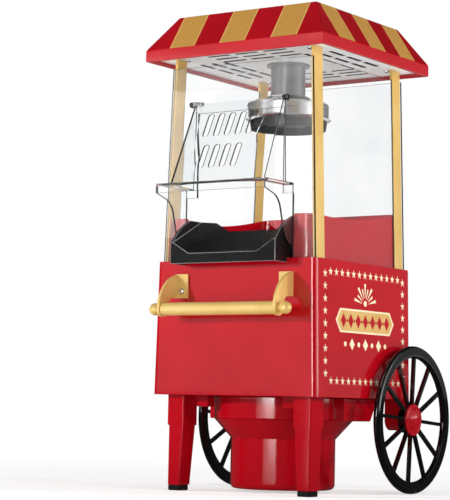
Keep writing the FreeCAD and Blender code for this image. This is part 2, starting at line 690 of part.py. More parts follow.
def make_hopper():
    half_y = CABINET_DEPTH / 2 - PANEL_T - FIT_GAP
    side_gap = POST_T + FIT_GAP
    top_z = BASE_TOP_Z + HOPPER_REAR_H + HOPPER_DIP
    floor_z = BASE_TOP_Z + HOPPER_WALL
    outer = loft(
        rounded_rect(cabinet_half(BASE_TOP_Z) - side_gap, half_y, HOPPER_CORNER_R, BASE_TOP_Z),
        rounded_rect(cabinet_half(top_z) - side_gap, half_y, HOPPER_CORNER_R, top_z),
    )
    inner_gap = side_gap + HOPPER_WALL
    inner_r = HOPPER_CORNER_R - HOPPER_WALL
    hollow = loft(
        rounded_rect(cabinet_half(floor_z) - inner_gap, half_y - HOPPER_WALL, inner_r, floor_z),
        rounded_rect(cabinet_half(top_z) - inner_gap, half_y - HOPPER_WALL, inner_r, top_z),
    )
    reach = CABINET_W_BOTTOM / 2
    front_top = V(-reach, -half_y, BASE_TOP_Z + HOPPER_FRONT_H)
    rear_top = V(-reach, half_y, BASE_TOP_Z + HOPPER_REAR_H)
    middle = (front_top + rear_top) / 2 - V(0, 0, HOPPER_DIP)
    above = V(0, 0, HOPPER_REAR_H)
    trim = Part.Wire([
        Part.Arc(front_top, middle, rear_top).toShape(),
        Part.LineSegment(rear_top, rear_top + above).toShape(),
        Part.LineSegment(rear_top + above, front_top + above).toShape(),
        Part.LineSegment(front_top + above, front_top).toShape(),
    ])
    chute_gap = block(-SERVING_OPENING_HALF, SERVING_OPENING_HALF, -half_y - FIT_GAP,
                      CHUTE_REAR_Y + FIT_GAP, BASE_TOP_Z, top_z)
    mouth = upright(CHAMBER_FLANGE_R + FIT_GAP, BASE_TOP_Z, floor_z, 0, STACK_Y)
    cutters = [hollow, prism(trim, V(2 * reach, 0, 0)), chute_gap, mouth]
    return cut_all(outer, cutters)


def chute_section(y, drop, top_z):
    """Corners of an upright section of the scoop: a flat floor with rising flanks."""
    front_y = FRONT_Y - CHUTE_OVERHANG
    share = (y - front_y) / (CHUTE_REAR_Y - front_y)
    flat = CHUTE_LIP_HALF + (CHUTE_REAR_FLOOR_HALF - CHUTE_LIP_HALF) * share
    floor_z = BASE_TOP_Z + CHUTE_LIP_H + (CHUTE_REAR_FLOOR_H - CHUTE_LIP_H) * share - drop
    side = CHUTE_HALF_W - CHUTE_WALL
    flank = (CHUTE_CORNER_H - CHUTE_LIP_H) / (side - CHUTE_LIP_HALF)
    side_z = floor_z + flank * (side - flat)
    return [
        V(-flat, y, floor_z),
        V(flat, y, floor_z),
        V(side, y, side_z),
        V(side, y, top_z),
        V(-side, y, top_z),
        V(-side, y, side_z),
    ]


def make_chute():
    front_y = FRONT_Y - CHUTE_OVERHANG
    apron_y = FRONT_Y - FIT_GAP
    apron_z = BASE_TOP_Z - CHUTE_APRON_DROP
    side_top = BASE_TOP_Z + CHUTE_SIDE_H
    crest = V(-CHUTE_HALF_W, PANEL_FRONT_Y + CHUTE_WALL, side_top)
    tip = V(-CHUTE_HALF_W, front_y, BASE_TOP_Z + CHUTE_CORNER_H)
    bulge = (crest + tip) / 2 + V(0, -CHUTE_WALL / 2, CHUTE_WALL)
    corners = [
        tip,
        V(-CHUTE_HALF_W, front_y, apron_z),
        V(-CHUTE_HALF_W, apron_y, apron_z),
        V(-CHUTE_HALF_W, apron_y, BASE_TOP_Z),
        V(-CHUTE_HALF_W, CHUTE_REAR_Y, BASE_TOP_Z),
        V(-CHUTE_HALF_W, CHUTE_REAR_Y, side_top),
        crest,
    ]
    edges = []
    for start, end in zip(corners, corners[1:]):
        edges.append(Part.LineSegment(start, end).toShape())
    edges.append(Part.Arc(crest, bulge, tip).toShape())
    form = prism(Part.Wire(edges), V(2 * CHUTE_HALF_W, 0, 0))
    above = side_top + CHUTE_SIDE_H
    scoop = frustum(chute_section(front_y, 0, above), chute_section(CHUTE_REAR_Y, 0, above))
    under = frustum(chute_section(front_y + CHUTE_WALL, CHUTE_WALL, apron_z),
                    chute_section(CHUTE_REAR_Y, CHUTE_WALL, apron_z))
    return form.cut(scoop).cut(under)


# Clear cabinet and hood

def upright_strip(inner_gap, thickness, y0, y1, top_z):
    """Strip along the drafted side of the cabinet, its inner face inner_gap in from the side."""
    ends = []
    for z in (BASE_TOP_Z, top_z):
        inner_x = cabinet_half(z) - inner_gap
        outer_x = inner_x + thickness
        ends.append([V(inner_x, y0, z), V(outer_x, y0, z), V(outer_x, y1, z), V(inner_x, y1, z)])
    return frustum(*ends)


def cross_panel(y):
    """Trapezoid sheet across the cabinet with its front face at y."""
    low = cabinet_half(BASE_TOP_Z)
    high = cabinet_half(PANEL_TOP_Z)
    outline = closed([
        V(-low, y, BASE_TOP_Z),
        V(low, y, BASE_TOP_Z),
        V(high, y, PANEL_TOP_Z),
        V(-high, y, PANEL_TOP_Z),
    ])
    return prism(outline, V(0, PANEL_T, 0))


def make_front_post():
    y0 = PANEL_FRONT_Y + PANEL_T + FIT_GAP
    return upright_strip(POST_T, POST_T, y0, y0 + POST_WIDTH, POST_TOP_Z)


def make_side_panel():
    y1 = CABINET_DEPTH / 2 - PANEL_T - POST_WIDTH - 2 * FIT_GAP
    return upright_strip(POST_T, PANEL_T, -y1, y1, PANEL_TOP_Z)


def hinge_lug_x():
    return HOOD_TOP_HALF + FIT_GAP


def make_front_panel():
    panel = cross_panel(PANEL_FRONT_Y)
    y0 = PANEL_FRONT_Y
    y1 = PANEL_FRONT_Y + PANEL_T
    serving_z = BASE_TOP_Z + SERVING_OPENING_H
    serving = block(-SERVING_OPENING_HALF, SERVING_OPENING_HALF, y0, y1, BASE_TOP_Z, serving_z)
    hood_gap = block(-HOOD_OPENING_HALF, HOOD_OPENING_HALF, y0, y1, serving_z, serving_z + HOOD_OPENING_H)
    panel = panel.cut(serving).cut(hood_gap)
    lug_x = hinge_lug_x()
    lug_r = HOOD_KNUCKLE_R
    lug = crosswise(lug_r, lug_x, lug_x + HOOD_LUG_T, HINGE_Y, HOOD_HINGE_Z)
    stem = block(lug_x, lug_x + HOOD_LUG_T, HINGE_Y, y0, HOOD_HINGE_Z - lug_r, HOOD_HINGE_Z + lug_r)
    lug = fuse_all([lug, stem])
    panel = fuse_all([panel, lug, mirrored(lug)])
    bore = crosswise(HOOD_PIN_R + SEAT_GAP, lug_x, lug_x + HOOD_LUG_T, HINGE_Y, HOOD_HINGE_Z)
    return panel.cut(bore).cut(mirrored(bore))


def make_hinge_pin():
    start = HOOD_TOP_HALF - HOOD_KNUCKLE_W
    return crosswise(HOOD_PIN_R, start, hinge_lug_x() + HOOD_LUG_T, HINGE_Y, HOOD_HINGE_Z)


def hood_section(half, facet_half, back_y, side_y, front_y, z):
    """Corners of a level section of the hood: straight sides and a three-facet front."""
    return [
        V(-half, back_y, z),
        V(-half, side_y, z),
        V(-facet_half, front_y, z),
        V(facet_half, front_y, z),
        V(half, side_y, z),
        V(half, back_y, z),
    ]


def hood_low_section(inset, back_y, z):
    side_y = PANEL_FRONT_Y - HOOD_SIDE_REACH + inset
    front_y = PANEL_FRONT_Y - HOOD_FRONT_REACH + inset
    return hood_section(HOOD_BOTTOM_HALF - inset, HOOD_BOTTOM_FACET_HALF, back_y, side_y, front_y, z)


def hood_form(inset, back_y):
    """Block of the hood drawn in by inset, with flat facets from the flange to the hinge."""
    low_wing = HOOD_BOTTOM_HALF - inset - HOOD_BOTTOM_FACET_HALF
    high_wing = HOOD_TOP_HALF - inset - HOOD_TOP_FACET_HALF
    front_y = HINGE_Y - HOOD_T + inset
    side_y = front_y + (HOOD_FRONT_REACH - HOOD_SIDE_REACH) * high_wing / low_wing
    high = hood_section(HOOD_TOP_HALF - inset, HOOD_TOP_FACET_HALF, back_y, side_y, front_y, HOOD_HINGE_Z)
    return frustum(hood_low_section(inset, back_y, FLANGE_TOP_Z), high)


def hood_slot(x, mid_z):
    """Round-ended upright slot, cut from front to back."""
    half = HOOD_SLOT_LENGTH / 2 - HOOD_SLOT_W / 2
    front_y = FLANGE_FRONT_Y
    middle = block(x - HOOD_SLOT_W / 2, x + HOOD_SLOT_W / 2, front_y, HOOD_BACK_Y, mid_z - half, mid_z + half)
    lower = lengthwise(HOOD_SLOT_W / 2, front_y, HOOD_BACK_Y, x, mid_z - half)
    upper = lengthwise(HOOD_SLOT_W / 2, front_y, HOOD_BACK_Y, x, mid_z + half)
    return fuse_all([middle, lower, upper])


def gusset_point(shares):
    """Point of the gusset's front edge, by its shares of the flange's reach and the gusset's drop."""
    y = FLANGE_FRONT_Y + shares[0] * HOOD_FLANGE_REACH
    z = HOOD_FLANGE_Z - shares[1] * (HOOD_FLANGE_Z - HOOD_GUSSET_Z)
    return V(GUSSET_INNER_X, y, z)


def make_gusset():
    """S-curved side wall that hangs from the hood's flange beside the chute."""
    top_front = gusset_point((0, 0))
    top_back = V(GUSSET_INNER_X, HOOD_BACK_Y, HOOD_FLANGE_Z)
    low_back = V(GUSSET_INNER_X, HOOD_BACK_Y, HOOD_GUSSET_Z)
    brow = gusset_point(GUSSET_BROW)
    waist = gusset_point(GUSSET_WAIST)
    knee = gusset_point(GUSSET_KNEE)
    outline = Part.Wire([
        Part.LineSegment(top_front, brow).toShape(),
        Part.Arc(brow, gusset_point(GUSSET_ELBOW), waist).toShape(),
        Part.LineSegment(waist, knee).toShape(),
        Part.Arc(knee, gusset_point(GUSSET_HEEL), low_back).toShape(),
        Part.LineSegment(low_back, top_back).toShape(),
        Part.LineSegment(top_back, top_front).toShape(),
    ])
    return prism(outline, V(HOOD_T, 0, 0))


def make_hood():
    outer = hood_form(0, HOOD_BACK_Y)
    hollow = hood_form(HOOD_T, PANEL_FRONT_Y + PANEL_T)
    face = outer.cut(hollow)
    rim = block(-GUSSET_OUTER_X, GUSSET_OUTER_X, FLANGE_FRONT_Y, HOOD_BACK_Y, HOOD_FLANGE_Z, FLANGE_TOP_Z)
    pocket = block(-GUSSET_INNER_X, GUSSET_INNER_X, FLANGE_FRONT_Y + HOOD_T, HOOD_BACK_Y,
                   HOOD_FLANGE_Z, FLANGE_TOP_Z - HOOD_T)
    mouth = prism(closed(hood_low_section(HOOD_T, HOOD_BACK_Y, FLANGE_TOP_Z - HOOD_T)), V(0, 0, HOOD_T))
    rim = rim.cut(pocket).cut(mouth)
    knuckle_x = HOOD_TOP_HALF - HOOD_KNUCKLE_W
    knuckle = crosswise(HOOD_KNUCKLE_R, knuckle_x, HOOD_TOP_HALF, HINGE_Y, HOOD_HINGE_Z)
    gusset = make_gusset()
    hood = fuse_all([face, rim, knuckle, mirrored(knuckle), gusset, mirrored(gusset)])
    slots = []
    for count, mid_z in ((HOOD_UPPER_SLOTS, HOOD_UPPER_SLOT_Z), (HOOD_LOWER_SLOTS, HOOD_LOWER_SLOT_Z)):
        for index in range(count):
            slots.append(hood_slot((index - (count - 1) / 2) * HOOD_SLOT_PITCH, mid_z))
    bore = crosswise(HOOD_PIN_R + RUN_GAP, knuckle_x, HOOD_TOP_HALF, HINGE_Y, HOOD_HINGE_Z)
    return cut_all(hood, slots + [bore, mirrored(bore)])


# Canopy and kettle

def roof_form(inset, bottom_z, top_z):
    """Fascia band with a hip roof on it, drawn in by inset on every side."""
    def section(width, depth, z):
        half_x = width / 2 - inset
        half_y = depth / 2 - inset
        return [V(-half_x, -half_y, z), V(half_x, -half_y, z), V(half_x, half_y, z), V(-half_x, half_y, z)]
    eave = section(CANOPY_W, CANOPY_DEPTH, FASCIA_TOP_Z)
    band = frustum(section(CANOPY_W, CANOPY_DEPTH, bottom_z), eave)
    slopes = frustum(eave, section(ROOF_TOP_W, ROOF_TOP_DEPTH, top_z))
    return band.fuse(slopes)


def make_canopy_shell():
    outer = roof_form(0, FASCIA_Z, ROOF_TOP_Z)
    hollow = roof_form(CANOPY_WALL, FASCIA_Z, ROOF_TOP_Z - CANOPY_WALL)
    boss = upright(BOSS_R, CEILING_TOP_Z, ROOF_TOP_Z, BOSS_X, BOSS_Y)
    pieces = [outer.cut(hollow)]
    for copy in four_ways(boss):
        pieces.append(copy.common(outer))
    hole = upright(SCREW_HOLE_R, CEILING_TOP_Z, CEILING_Z + SCREW_LENGTH + FIT_GAP, BOSS_X, BOSS_Y)
    return cut_all(fuse_all(pieces), four_ways(hole))


def ceiling_slots():
    """Rows of vent slots along each of the four sides of the ceiling."""
    slots = []
    for turn in range(4):
        for row in range(CEILING_SLOT_ROWS):
            y = -CEILING_FIRST_ROW - row * CEILING_ROW_STEP
            for column in (-1, 0, 1):
                x = column * CEILING_SLOT_PITCH
                slot = block(x - CEILING_SLOT_LENGTH / 2, x + CEILING_SLOT_LENGTH / 2,
                             y - CEILING_SLOT_WIDTH / 2, y + CEILING_SLOT_WIDTH / 2, CEILING_Z, CEILING_TOP_Z)
                slot.rotate(V(0, 0, 0), V(0, 0, 1), 90 * turn)
                slots.append(slot)
    return Part.makeCompound(slots)


def make_ceiling_plate():
    half_x = CANOPY_W / 2 - CANOPY_WALL - FIT_GAP
    half_y = CANOPY_DEPTH / 2 - CANOPY_WALL - FIT_GAP
    plate = block(-half_x, half_x, -half_y, half_y, CEILING_Z, CEILING_TOP_Z)
    hole = upright(SCREW_HOLE_R, CEILING_Z, CEILING_TOP_Z, BOSS_X, BOSS_Y)
    return cut_all(plate.cut(ceiling_slots()), four_ways(hole))


def make_ceiling_screws():
    return Part.makeCompound(four_ways(screw_up(BOSS_X, BOSS_Y, CEILING_Z)))


def make_kettle_tube():
    inner_r = KETTLE_TUBE_R - KETTLE_SHEET
    collar_z = CEILING_Z - KETTLE_COLLAR_T
    return turned([
        (inner_r, KETTLE_CAP_TOP_Z),
        (KETTLE_TUBE_R, KETTLE_CAP_TOP_Z),
        (KETTLE_TUBE_R, collar_z),
        (KETTLE_COLLAR_R, collar_z),
        (KETTLE_COLLAR_R, CEILING_Z),
        (inner_r, CEILING_Z),
    ])


def make_kettle_cap():
    """Round-shouldered cap between the tube and the body."""
    cap = upright(KETTLE_CAP_R, KETTLE_BODY_TOP_Z, KETTLE_CAP_TOP_Z)
    edges = []
    for edge in cap.Edges:
        if edge.BoundBox.ZMin > KETTLE_CAP_TOP_Z - SEAT_GAP:
            edges.append(edge)
    cap = cap.makeFillet(KETTLE_CAP_ROUND, edges)
    return cap.cut(upright(KETTLE_TUBE_R - KETTLE_SHEET, KETTLE_BODY_TOP_Z, KETTLE_CAP_TOP_Z))


def make_kettle_body():
    inner_r = KETTLE_TUBE_R - KETTLE_SHEET
    roof_z = KETTLE_BODY_TOP_Z - KETTLE_SHEET
    return turned([
        (inner_r, KETTLE_BODY_TOP_Z),
        (KETTLE_BODY_R - KETTLE_SHEET, KETTLE_BODY_TOP_Z),
        (KETTLE_BODY_R, roof_z),
        (KETTLE_BODY_R, KETTLE_RIM_TOP_Z),
        (KETTLE_BODY_R - KETTLE_SHEET, KETTLE_RIM_TOP_Z),
        (KETTLE_BODY_R - KETTLE_SHEET, roof_z),
        (inner_r, roof_z),
    ])


def make_kettle_rim():
    inner_r = KETTLE_SKIRT_R - KETTLE_SKIRT_DRAFT - KETTLE_SHEET
    edge_z = (KETTLE_RIM_TOP_Z + KETTLE_SKIRT_TOP_Z) / 2
    return turned([
        (inner_r, KETTLE_SKIRT_TOP_Z),
        (KETTLE_BODY_R, KETTLE_SKIRT_TOP_Z),
        (KETTLE_RIM_R, edge_z),
        (KETTLE_BODY_R, KETTLE_RIM_TOP_Z),
        (inner_r, KETTLE_RIM_TOP_Z),
    ])


def make_kettle_skirt():
    low_z = KETTLE_SKIRT_TOP_Z - KETTLE_SKIRT_H
    low_r = KETTLE_SKIRT_R - KETTLE_SKIRT_DRAFT
    return turned([
        (low_r - KETTLE_SHEET, low_z),
        (low_r, low_z),
        (KETTLE_SKIRT_R, KETTLE_SKIRT_TOP_Z),
        (KETTLE_SKIRT_R - KETTLE_SHEET, KETTLE_SKIRT_TOP_Z),
    ])


# Popping stack and blower

def make_air_duct():
    duct = upright(DUCT_R, FLOOR_TOP_Z, DECK_Z, 0, STACK_Y).cut(
        upright(DUCT_INNER_R, FLOOR_TOP_Z, DECK_Z, 0, STACK_Y))
    ledge_top = FLOOR_TOP_Z + DUCT_LEDGE_H
    ledge = upright(DUCT_INNER_R + DUCT_WALL / 2, ledge_top - DUCT_WALL, ledge_top, 0, STACK_Y)
    ledge = ledge.cut(upright(STACK_HOLE_R, ledge_top - DUCT_WALL, ledge_top, 0, STACK_Y))
    return fuse_all([duct, ledge])


def make_popping_chamber():
    top_z = BASE_TOP_Z + CHAMBER_FLANGE_T
    cup = upright(CHAMBER_R, CHAMBER_BOTTOM_Z, top_z, 0, STACK_Y)
    flange = upright(CHAMBER_FLANGE_R, BASE_TOP_Z, top_z, 0, STACK_Y)
    hollow = upright(CHAMBER_R - CHAMBER_WALL, CHAMBER_BOTTOM_Z + CHAMBER_WALL, top_z, 0, STACK_Y)
    chamber = fuse_all([cup, flange]).cut(hollow)
    vents = []
    vent_z = CHAMBER_BOTTOM_Z + CHAMBER_VENT_RISE
    for index in range(CHAMBER_VENTS):
        vent = block(CHAMBER_R - 2 * CHAMBER_WALL, CHAMBER_R + CHAMBER_WALL,
                     -CHAMBER_VENT_W / 2, CHAMBER_VENT_W / 2, vent_z, vent_z + CHAMBER_VENT_H)
        vent.rotate(V(0, 0, 0), V(0, 0, 1), 360 * index / CHAMBER_VENTS)
        vent.translate(V(0, STACK_Y, 0))
        vents.append(vent)
    return cut_all(chamber, vents)


def make_heater_support():
    """Insulating disc on the duct's ledge, with round air holes under the coil."""
    plate = upright(DUCT_INNER_R - FIT_GAP, HEATER_Z, HEATER_TOP_Z, 0, STACK_Y)
    hole_r = HEATER_WIRE_R + HEATER_PLATE_T
    holes = []
    for index in range(CHAMBER_VENTS // 2):
        angle = 2 * math.pi * index / (CHAMBER_VENTS // 2)
        x = HEATER_COIL_R * math.cos(angle)
        y = STACK_Y + HEATER_COIL_R * math.sin(angle)
        holes.append(upright(hole_r, HEATER_Z, HEATER_TOP_Z, x, y))
    return cut_all(plate, holes)


def make_heater_coil():
    center = V(0, STACK_Y, HEATER_TOP_Z + HEATER_WIRE_R + RUN_GAP)
    return Part.makeTorus(HEATER_COIL_R, HEATER_WIRE_R, center)


def make_thermostat():
    x = -THERMOSTAT_R - FUSE_R
    return upright(THERMOSTAT_R, HEATER_TOP_Z, HEATER_TOP_Z + THERMOSTAT_H, x, STACK_Y)


def make_thermal_fuse():
    z = HEATER_TOP_Z + FUSE_R + RUN_GAP
    return lengthwise(FUSE_R, STACK_Y - FUSE_LENGTH / 2, STACK_Y + FUSE_LENGTH / 2, THERMOSTAT_R + FUSE_R, z)


def make_motor_mount():
    """Disc on the tub's ledge that the motor hangs from, with round air windows."""
    plate = upright(TUB_R - TUB_WALL - FIT_GAP, MOUNT_Z, MOUNT_TOP_Z, 0, STACK_Y)
    cutters = [upright(MOTOR_NOSE_R + SEAT_GAP, MOUNT_Z, MOUNT_TOP_Z, 0, STACK_Y)]
    ring_r = (MOTOR_R + TUB_R - TUB_WALL - TUB_LEDGE) / 2
    for index in range(MOUNT_WINDOWS):
        angle = 2 * math.pi * index / MOUNT_WINDOWS
        x = ring_r * math.cos(angle)
        y = STACK_Y + ring_r * math.sin(angle)
        cutters.append(upright(MOUNT_WINDOW_R, MOUNT_Z, MOUNT_TOP_Z, x, y))
    return cut_all(plate, cutters)


def make_motor():
    can = upright(MOTOR_R, MOUNT_Z - MOTOR_LENGTH, MOUNT_Z, 0, STACK_Y)
    nose = upright(MOTOR_NOSE_R, MOUNT_Z, MOUNT_TOP_Z, 0, STACK_Y)
    bore = upright(SHAFT_R + RUN_GAP, MOUNT_Z - MOTOR_LENGTH + MOTOR_NOSE_R, MOUNT_TOP_Z, 0, STACK_Y)
    return fuse_all([can, nose]).cut(bore)


def make_motor_shaft():
    bottom = MOUNT_Z - MOTOR_LENGTH + MOTOR_NOSE_R + FIT_GAP
    return upright(SHAFT_R, bottom, FAN_Z + FAN_H, 0, STACK_Y)


def make_fan_impeller():
    disc = upright(FAN_R, FAN_Z, FAN_Z + FAN_DISC_T, 0, STACK_Y)
    hub = upright(FAN_HUB_R, FAN_Z, FAN_Z + FAN_H, 0, STACK_Y)
    pieces = [disc, hub]
    for index in range(FAN_BLADES):
        blade = block(FAN_HUB_R - FAN_BLADE_T, FAN_R, -FAN_BLADE_T / 2, FAN_BLADE_T / 2, FAN_Z, FAN_Z + FAN_H)
        blade.rotate(V(0, 0, 0), V(0, 0, 1), 360 * index / FAN_BLADES)
        blade.translate(V(0, STACK_Y, 0))
        pieces.append(blade)
    return fuse_all(pieces).cut(upright(SHAFT_R + SEAT_GAP, FAN_Z, FAN_Z + FAN_H, 0, STACK_Y))


# Switch and cord inlet

def switch_block(width, height, y0, y1):
    return block(SWITCH_X - width / 2, SWITCH_X + width / 2, y0, y1,
                 SWITCH_Z - height / 2, SWITCH_Z + height / 2)


def make_switch_housing():
    rim = 2 * SWITCH_FLANGE
    body = switch_block(SWITCH_W, SWITCH_H, REAR_Y - SWITCH_BODY_DEPTH, REAR_Y)
    flange = switch_block(SWITCH_W + rim, SWITCH_H + rim, REAR_Y, REAR_Y + SWITCH_FLANGE)
    well = switch_block(SWITCH_W - 2 * SWITCH_WALL, SWITCH_H - 2 * SWITCH_WALL,
                        REAR_Y - SWITCH_BODY_DEPTH + SWITCH_WALL, REAR_Y + SWITCH_FLANGE)
    pin_half = SWITCH_W / 2 - SWITCH_WALL / 2
    bore = crosswise(ROCKER_PIN_R + RUN_GAP, SWITCH_X - pin_half, SWITCH_X + pin_half, REAR_Y, SWITCH_Z)
    return fuse_all([body, flange]).cut(well).cut(bore)


def make_switch_rocker():
    """Rocker with a shallow V face, stored tilted to its off side."""
    half_h = SWITCH_H / 2 - SWITCH_WALL - 2 * FIT_GAP
    half_w = SWITCH_W / 2 - SWITCH_WALL - FIT_GAP
    ridge = SWITCH_FLANGE + 2 * FIT_GAP
    half_face = math.sqrt(half_h ** 2 - ridge ** 2)
    x0 = SWITCH_X - half_w
    outline = closed([
        V(x0, REAR_Y - 2 * ridge, SWITCH_Z - half_face / 2),
        V(x0, REAR_Y + ridge, SWITCH_Z - half_face),
        V(x0, REAR_Y + ridge / 2, SWITCH_Z),
        V(x0, REAR_Y + ridge, SWITCH_Z + half_face),
        V(x0, REAR_Y - 2 * ridge, SWITCH_Z + half_face / 2),
    ])
    paddle = prism(outline, V(2 * half_w, 0, 0))
    pin_half = SWITCH_W / 2 - SWITCH_WALL / 2 - RUN_GAP
    pin = crosswise(ROCKER_PIN_R, SWITCH_X - pin_half, SWITCH_X + pin_half, REAR_Y, SWITCH_Z)
    rocker = fuse_all([paddle, pin])
    rocker.rotate(V(SWITCH_X, REAR_Y, SWITCH_Z), V(1, 0, 0), -ROCKER_TILT)
    return rocker


def make_cord_inlet():
    sleeve = lengthwise(INLET_R, REAR_Y - BASE_WALL - INLET_FLANGE_T, REAR_Y, INLET_X, INLET_Z)
    flange = lengthwise(INLET_FLANGE_R, REAR_Y, REAR_Y + INLET_FLANGE_T, INLET_X, INLET_Z)
    bore = lengthwise(INLET_BORE_R, REAR_Y - BASE_WALL - INLET_FLANGE_T, REAR_Y + INLET_FLANGE_T,
                      INLET_X, INLET_Z)
    return fuse_all([sleeve, flange]).cut(bore)


# All nodes

def make_nodes():
    nodes = {
        "base_shell": make_base_shell(),
        "base_floor": make_base_floor(),
        "floor_screws": make_floor_screws(),
        "lower_tray": make_lower_tray(),
        "motor_tub": make_motor_tub(),
        "hopper": make_hopper(),
        "chute": make_chute(),
        "front_panel": make_front_panel(),
        "rear_panel": cross_panel(-PANEL_FRONT_Y - PANEL_T),
        "hood": make_hood(),
        "canopy_shell": make_canopy_shell(),
        "ceiling_plate": make_ceiling_plate(),
        "ceiling_screws": make_ceiling_screws(),
        "kettle_tube": make_kettle_tube(),
        "kettle_cap": make_kettle_cap(),
        "kettle_body": make_kettle_body(),
        "kettle_rim": make_kettle_rim(),
        "kettle_skirt": make_kettle_skirt(),
        "air_duct": make_air_duct(),
        "popping_chamber": make_popping_chamber(),
        "heater_support": make_heater_support(),
        "heater_coil": make_heater_coil(),
        "thermostat": make_thermostat(),
        "thermal_fuse": make_thermal_fuse(),
        "motor_mount": make_motor_mount(),
        "motor": make_motor(),
        "motor_shaft": make_motor_shaft(),
        "fan_impeller": make_fan_impeller(),
        "switch_housing": make_switch_housing(),
        "switch_rocker": make_switch_rocker(),
        "cord_inlet": make_cord_inlet(),
        "handle_rod": make_handle_rod(),
    }
    screw = make_bracket_screw()
    nodes["bracket_screws"] = Part.makeCompound([screw, mirrored(screw)])
    hinge_pin = make_hinge_pin()
    nodes["hood_hinge_pins"] = Part.makeCompound([hinge_pin, mirrored(hinge_pin)])
    knob = make_handle_knob()
    nodes["handle_knobs"] = Part.makeCompound([knob, mirrored(knob)])
    clip = make_axle_clip()
    nodes["axle_clips"] = Part.makeCompound([clip, mirrored(clip)])
    paired = {
        "leg": make_leg(),
        "foot_pad": make_foot_pad(),
        "axle_bracket": make_axle_bracket(),
        "axle_pin": make_axle_pin(),
        "wheel": make_wheel(),
        "hub_cap": make_hub_cap(),
        "handle_bracket": make_handle_bracket(),
        "side_panel": make_side_panel(),
    }
    for name, shape in paired.items():
        nodes[name + "_right"] = shape
        nodes[name + "_left"] = mirrored(shape)
    post = make_front_post()
    rear_post = post.mirror(V(0, 0, 0), V(0, 1, 0))
    nodes["post_front_right"] = post
    nodes["post_front_left"] = mirrored(post)
    nodes["post_rear_right"] = rear_post
    nodes["post_rear_left"] = mirrored(rear_post)
    return nodes


os.makedirs("parts", exist_ok=True)
for node, shape in make_nodes().items():
    shape.translate(V(0, -MIDDLE_Y, 0))
    shape.exportStep("parts/" + node + ".step")
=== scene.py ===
import itertools
import json
import math

import bmesh
import bpy
from mathutils import Matrix, Vector

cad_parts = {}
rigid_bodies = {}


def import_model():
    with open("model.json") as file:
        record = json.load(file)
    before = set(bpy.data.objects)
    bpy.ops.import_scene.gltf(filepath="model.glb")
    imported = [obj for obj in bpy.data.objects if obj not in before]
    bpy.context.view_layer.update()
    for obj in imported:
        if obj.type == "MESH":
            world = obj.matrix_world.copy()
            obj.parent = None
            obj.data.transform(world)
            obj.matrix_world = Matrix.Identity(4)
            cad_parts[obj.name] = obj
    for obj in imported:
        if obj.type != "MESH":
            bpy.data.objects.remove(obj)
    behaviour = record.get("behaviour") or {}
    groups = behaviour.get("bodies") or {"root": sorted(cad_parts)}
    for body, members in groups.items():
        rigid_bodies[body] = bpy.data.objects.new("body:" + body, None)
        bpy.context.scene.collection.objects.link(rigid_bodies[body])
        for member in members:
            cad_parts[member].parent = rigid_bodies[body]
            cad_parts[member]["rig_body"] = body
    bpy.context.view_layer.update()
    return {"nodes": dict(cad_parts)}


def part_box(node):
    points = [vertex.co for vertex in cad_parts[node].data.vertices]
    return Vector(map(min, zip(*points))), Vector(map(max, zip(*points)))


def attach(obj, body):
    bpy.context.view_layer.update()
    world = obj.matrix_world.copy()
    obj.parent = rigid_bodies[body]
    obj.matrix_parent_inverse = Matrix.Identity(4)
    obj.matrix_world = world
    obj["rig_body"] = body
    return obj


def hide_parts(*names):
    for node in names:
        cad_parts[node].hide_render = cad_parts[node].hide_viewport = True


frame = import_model()
NODES = frame["nodes"]
MM = 0.001


def box_mm(node):
    """Lowest and highest corner of a node at rest, in mm."""
    low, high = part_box(node)
    return low / MM, high / MM


def lin(red, green, blue):
    """Linear colour of an sRGB colour given in 0 to 255."""
    out = []
    for value in (red, green, blue):
        share = value / 255
        out.append(share / 12.92 if share <= 0.04045 else ((share + 0.055) / 1.055) ** 2.4)
    return (*out, 1.0)


# Node helpers

def add(tree, kind, props=None, **inputs):
    """New node; inputs are sockets to link or values to set, by socket name."""
    node = tree.nodes.new("ShaderNode" + kind)
    for key, value in (props or {}).items():
        setattr(node, key, value)
    for key, value in inputs.items():
        plug(tree, node.inputs[key.replace("_", " ")], value)
    return node


def plug(tree, socket, value):
    """Links a socket or sets a value."""
    if isinstance(value, bpy.types.NodeSocket):
        tree.links.new(value, socket)
    else:
        socket.default_value = value


def calc(tree, operation, first, second=0.0, third=0.0):
    """Math node."""
    node = tree.nodes.new("ShaderNodeMath")
    node.operation = operation
    for socket, value in zip(node.inputs, (first, second, third)):
        plug(tree, socket, value)
    return node.outputs[0]


def blank(name):
    """New material with a Principled shader at its defaults."""
    material = bpy.data.materials.new(name)
    material.use_nodes = True
    tree = material.node_tree
    tree.nodes.clear()
    shader = add(tree, "BsdfPrincipled")
    add(tree, "OutputMaterial", Surface=shader.outputs[0])
    return material, tree, shader


def mix_shaders(tree, share, first, second):
    node = add(tree, "MixShader")
    for socket, value in zip(node.inputs, (share, first, second)):
        plug(tree, socket, value)
    return node.outputs[0]


def resurface(tree, shader, other, share):
    """Mixes another shader into the surface by share."""
    output = next(node for node in tree.nodes if node.type == "OUTPUT_MATERIAL")
    tree.links.new(mix_shaders(tree, share, shader.outputs[0], other.outputs[0]), output.inputs["Surface"])


def place(tree, scale=(1, 1, 1)):
    """Object coordinates in metres, stretched by scale."""
    where = add(tree, "TexCoord").outputs["Object"]
    if scale == (1, 1, 1):
        return where
    return add(tree, "Mapping", Vector=where, Scale=scale).outputs[0]


def noise(tree, where, scale, detail):
    return add(tree, "TexNoise", Vector=where, Scale=scale, Detail=detail).outputs["Fac"]


def blend_colors(tree, share, first, second):
    node = add(tree, "Mix", {"data_type": "RGBA"})
    plug(tree, node.inputs[0], share)
    plug(tree, node.inputs[6], first)
    plug(tree, node.inputs[7], second)
    return node.outputs[2]


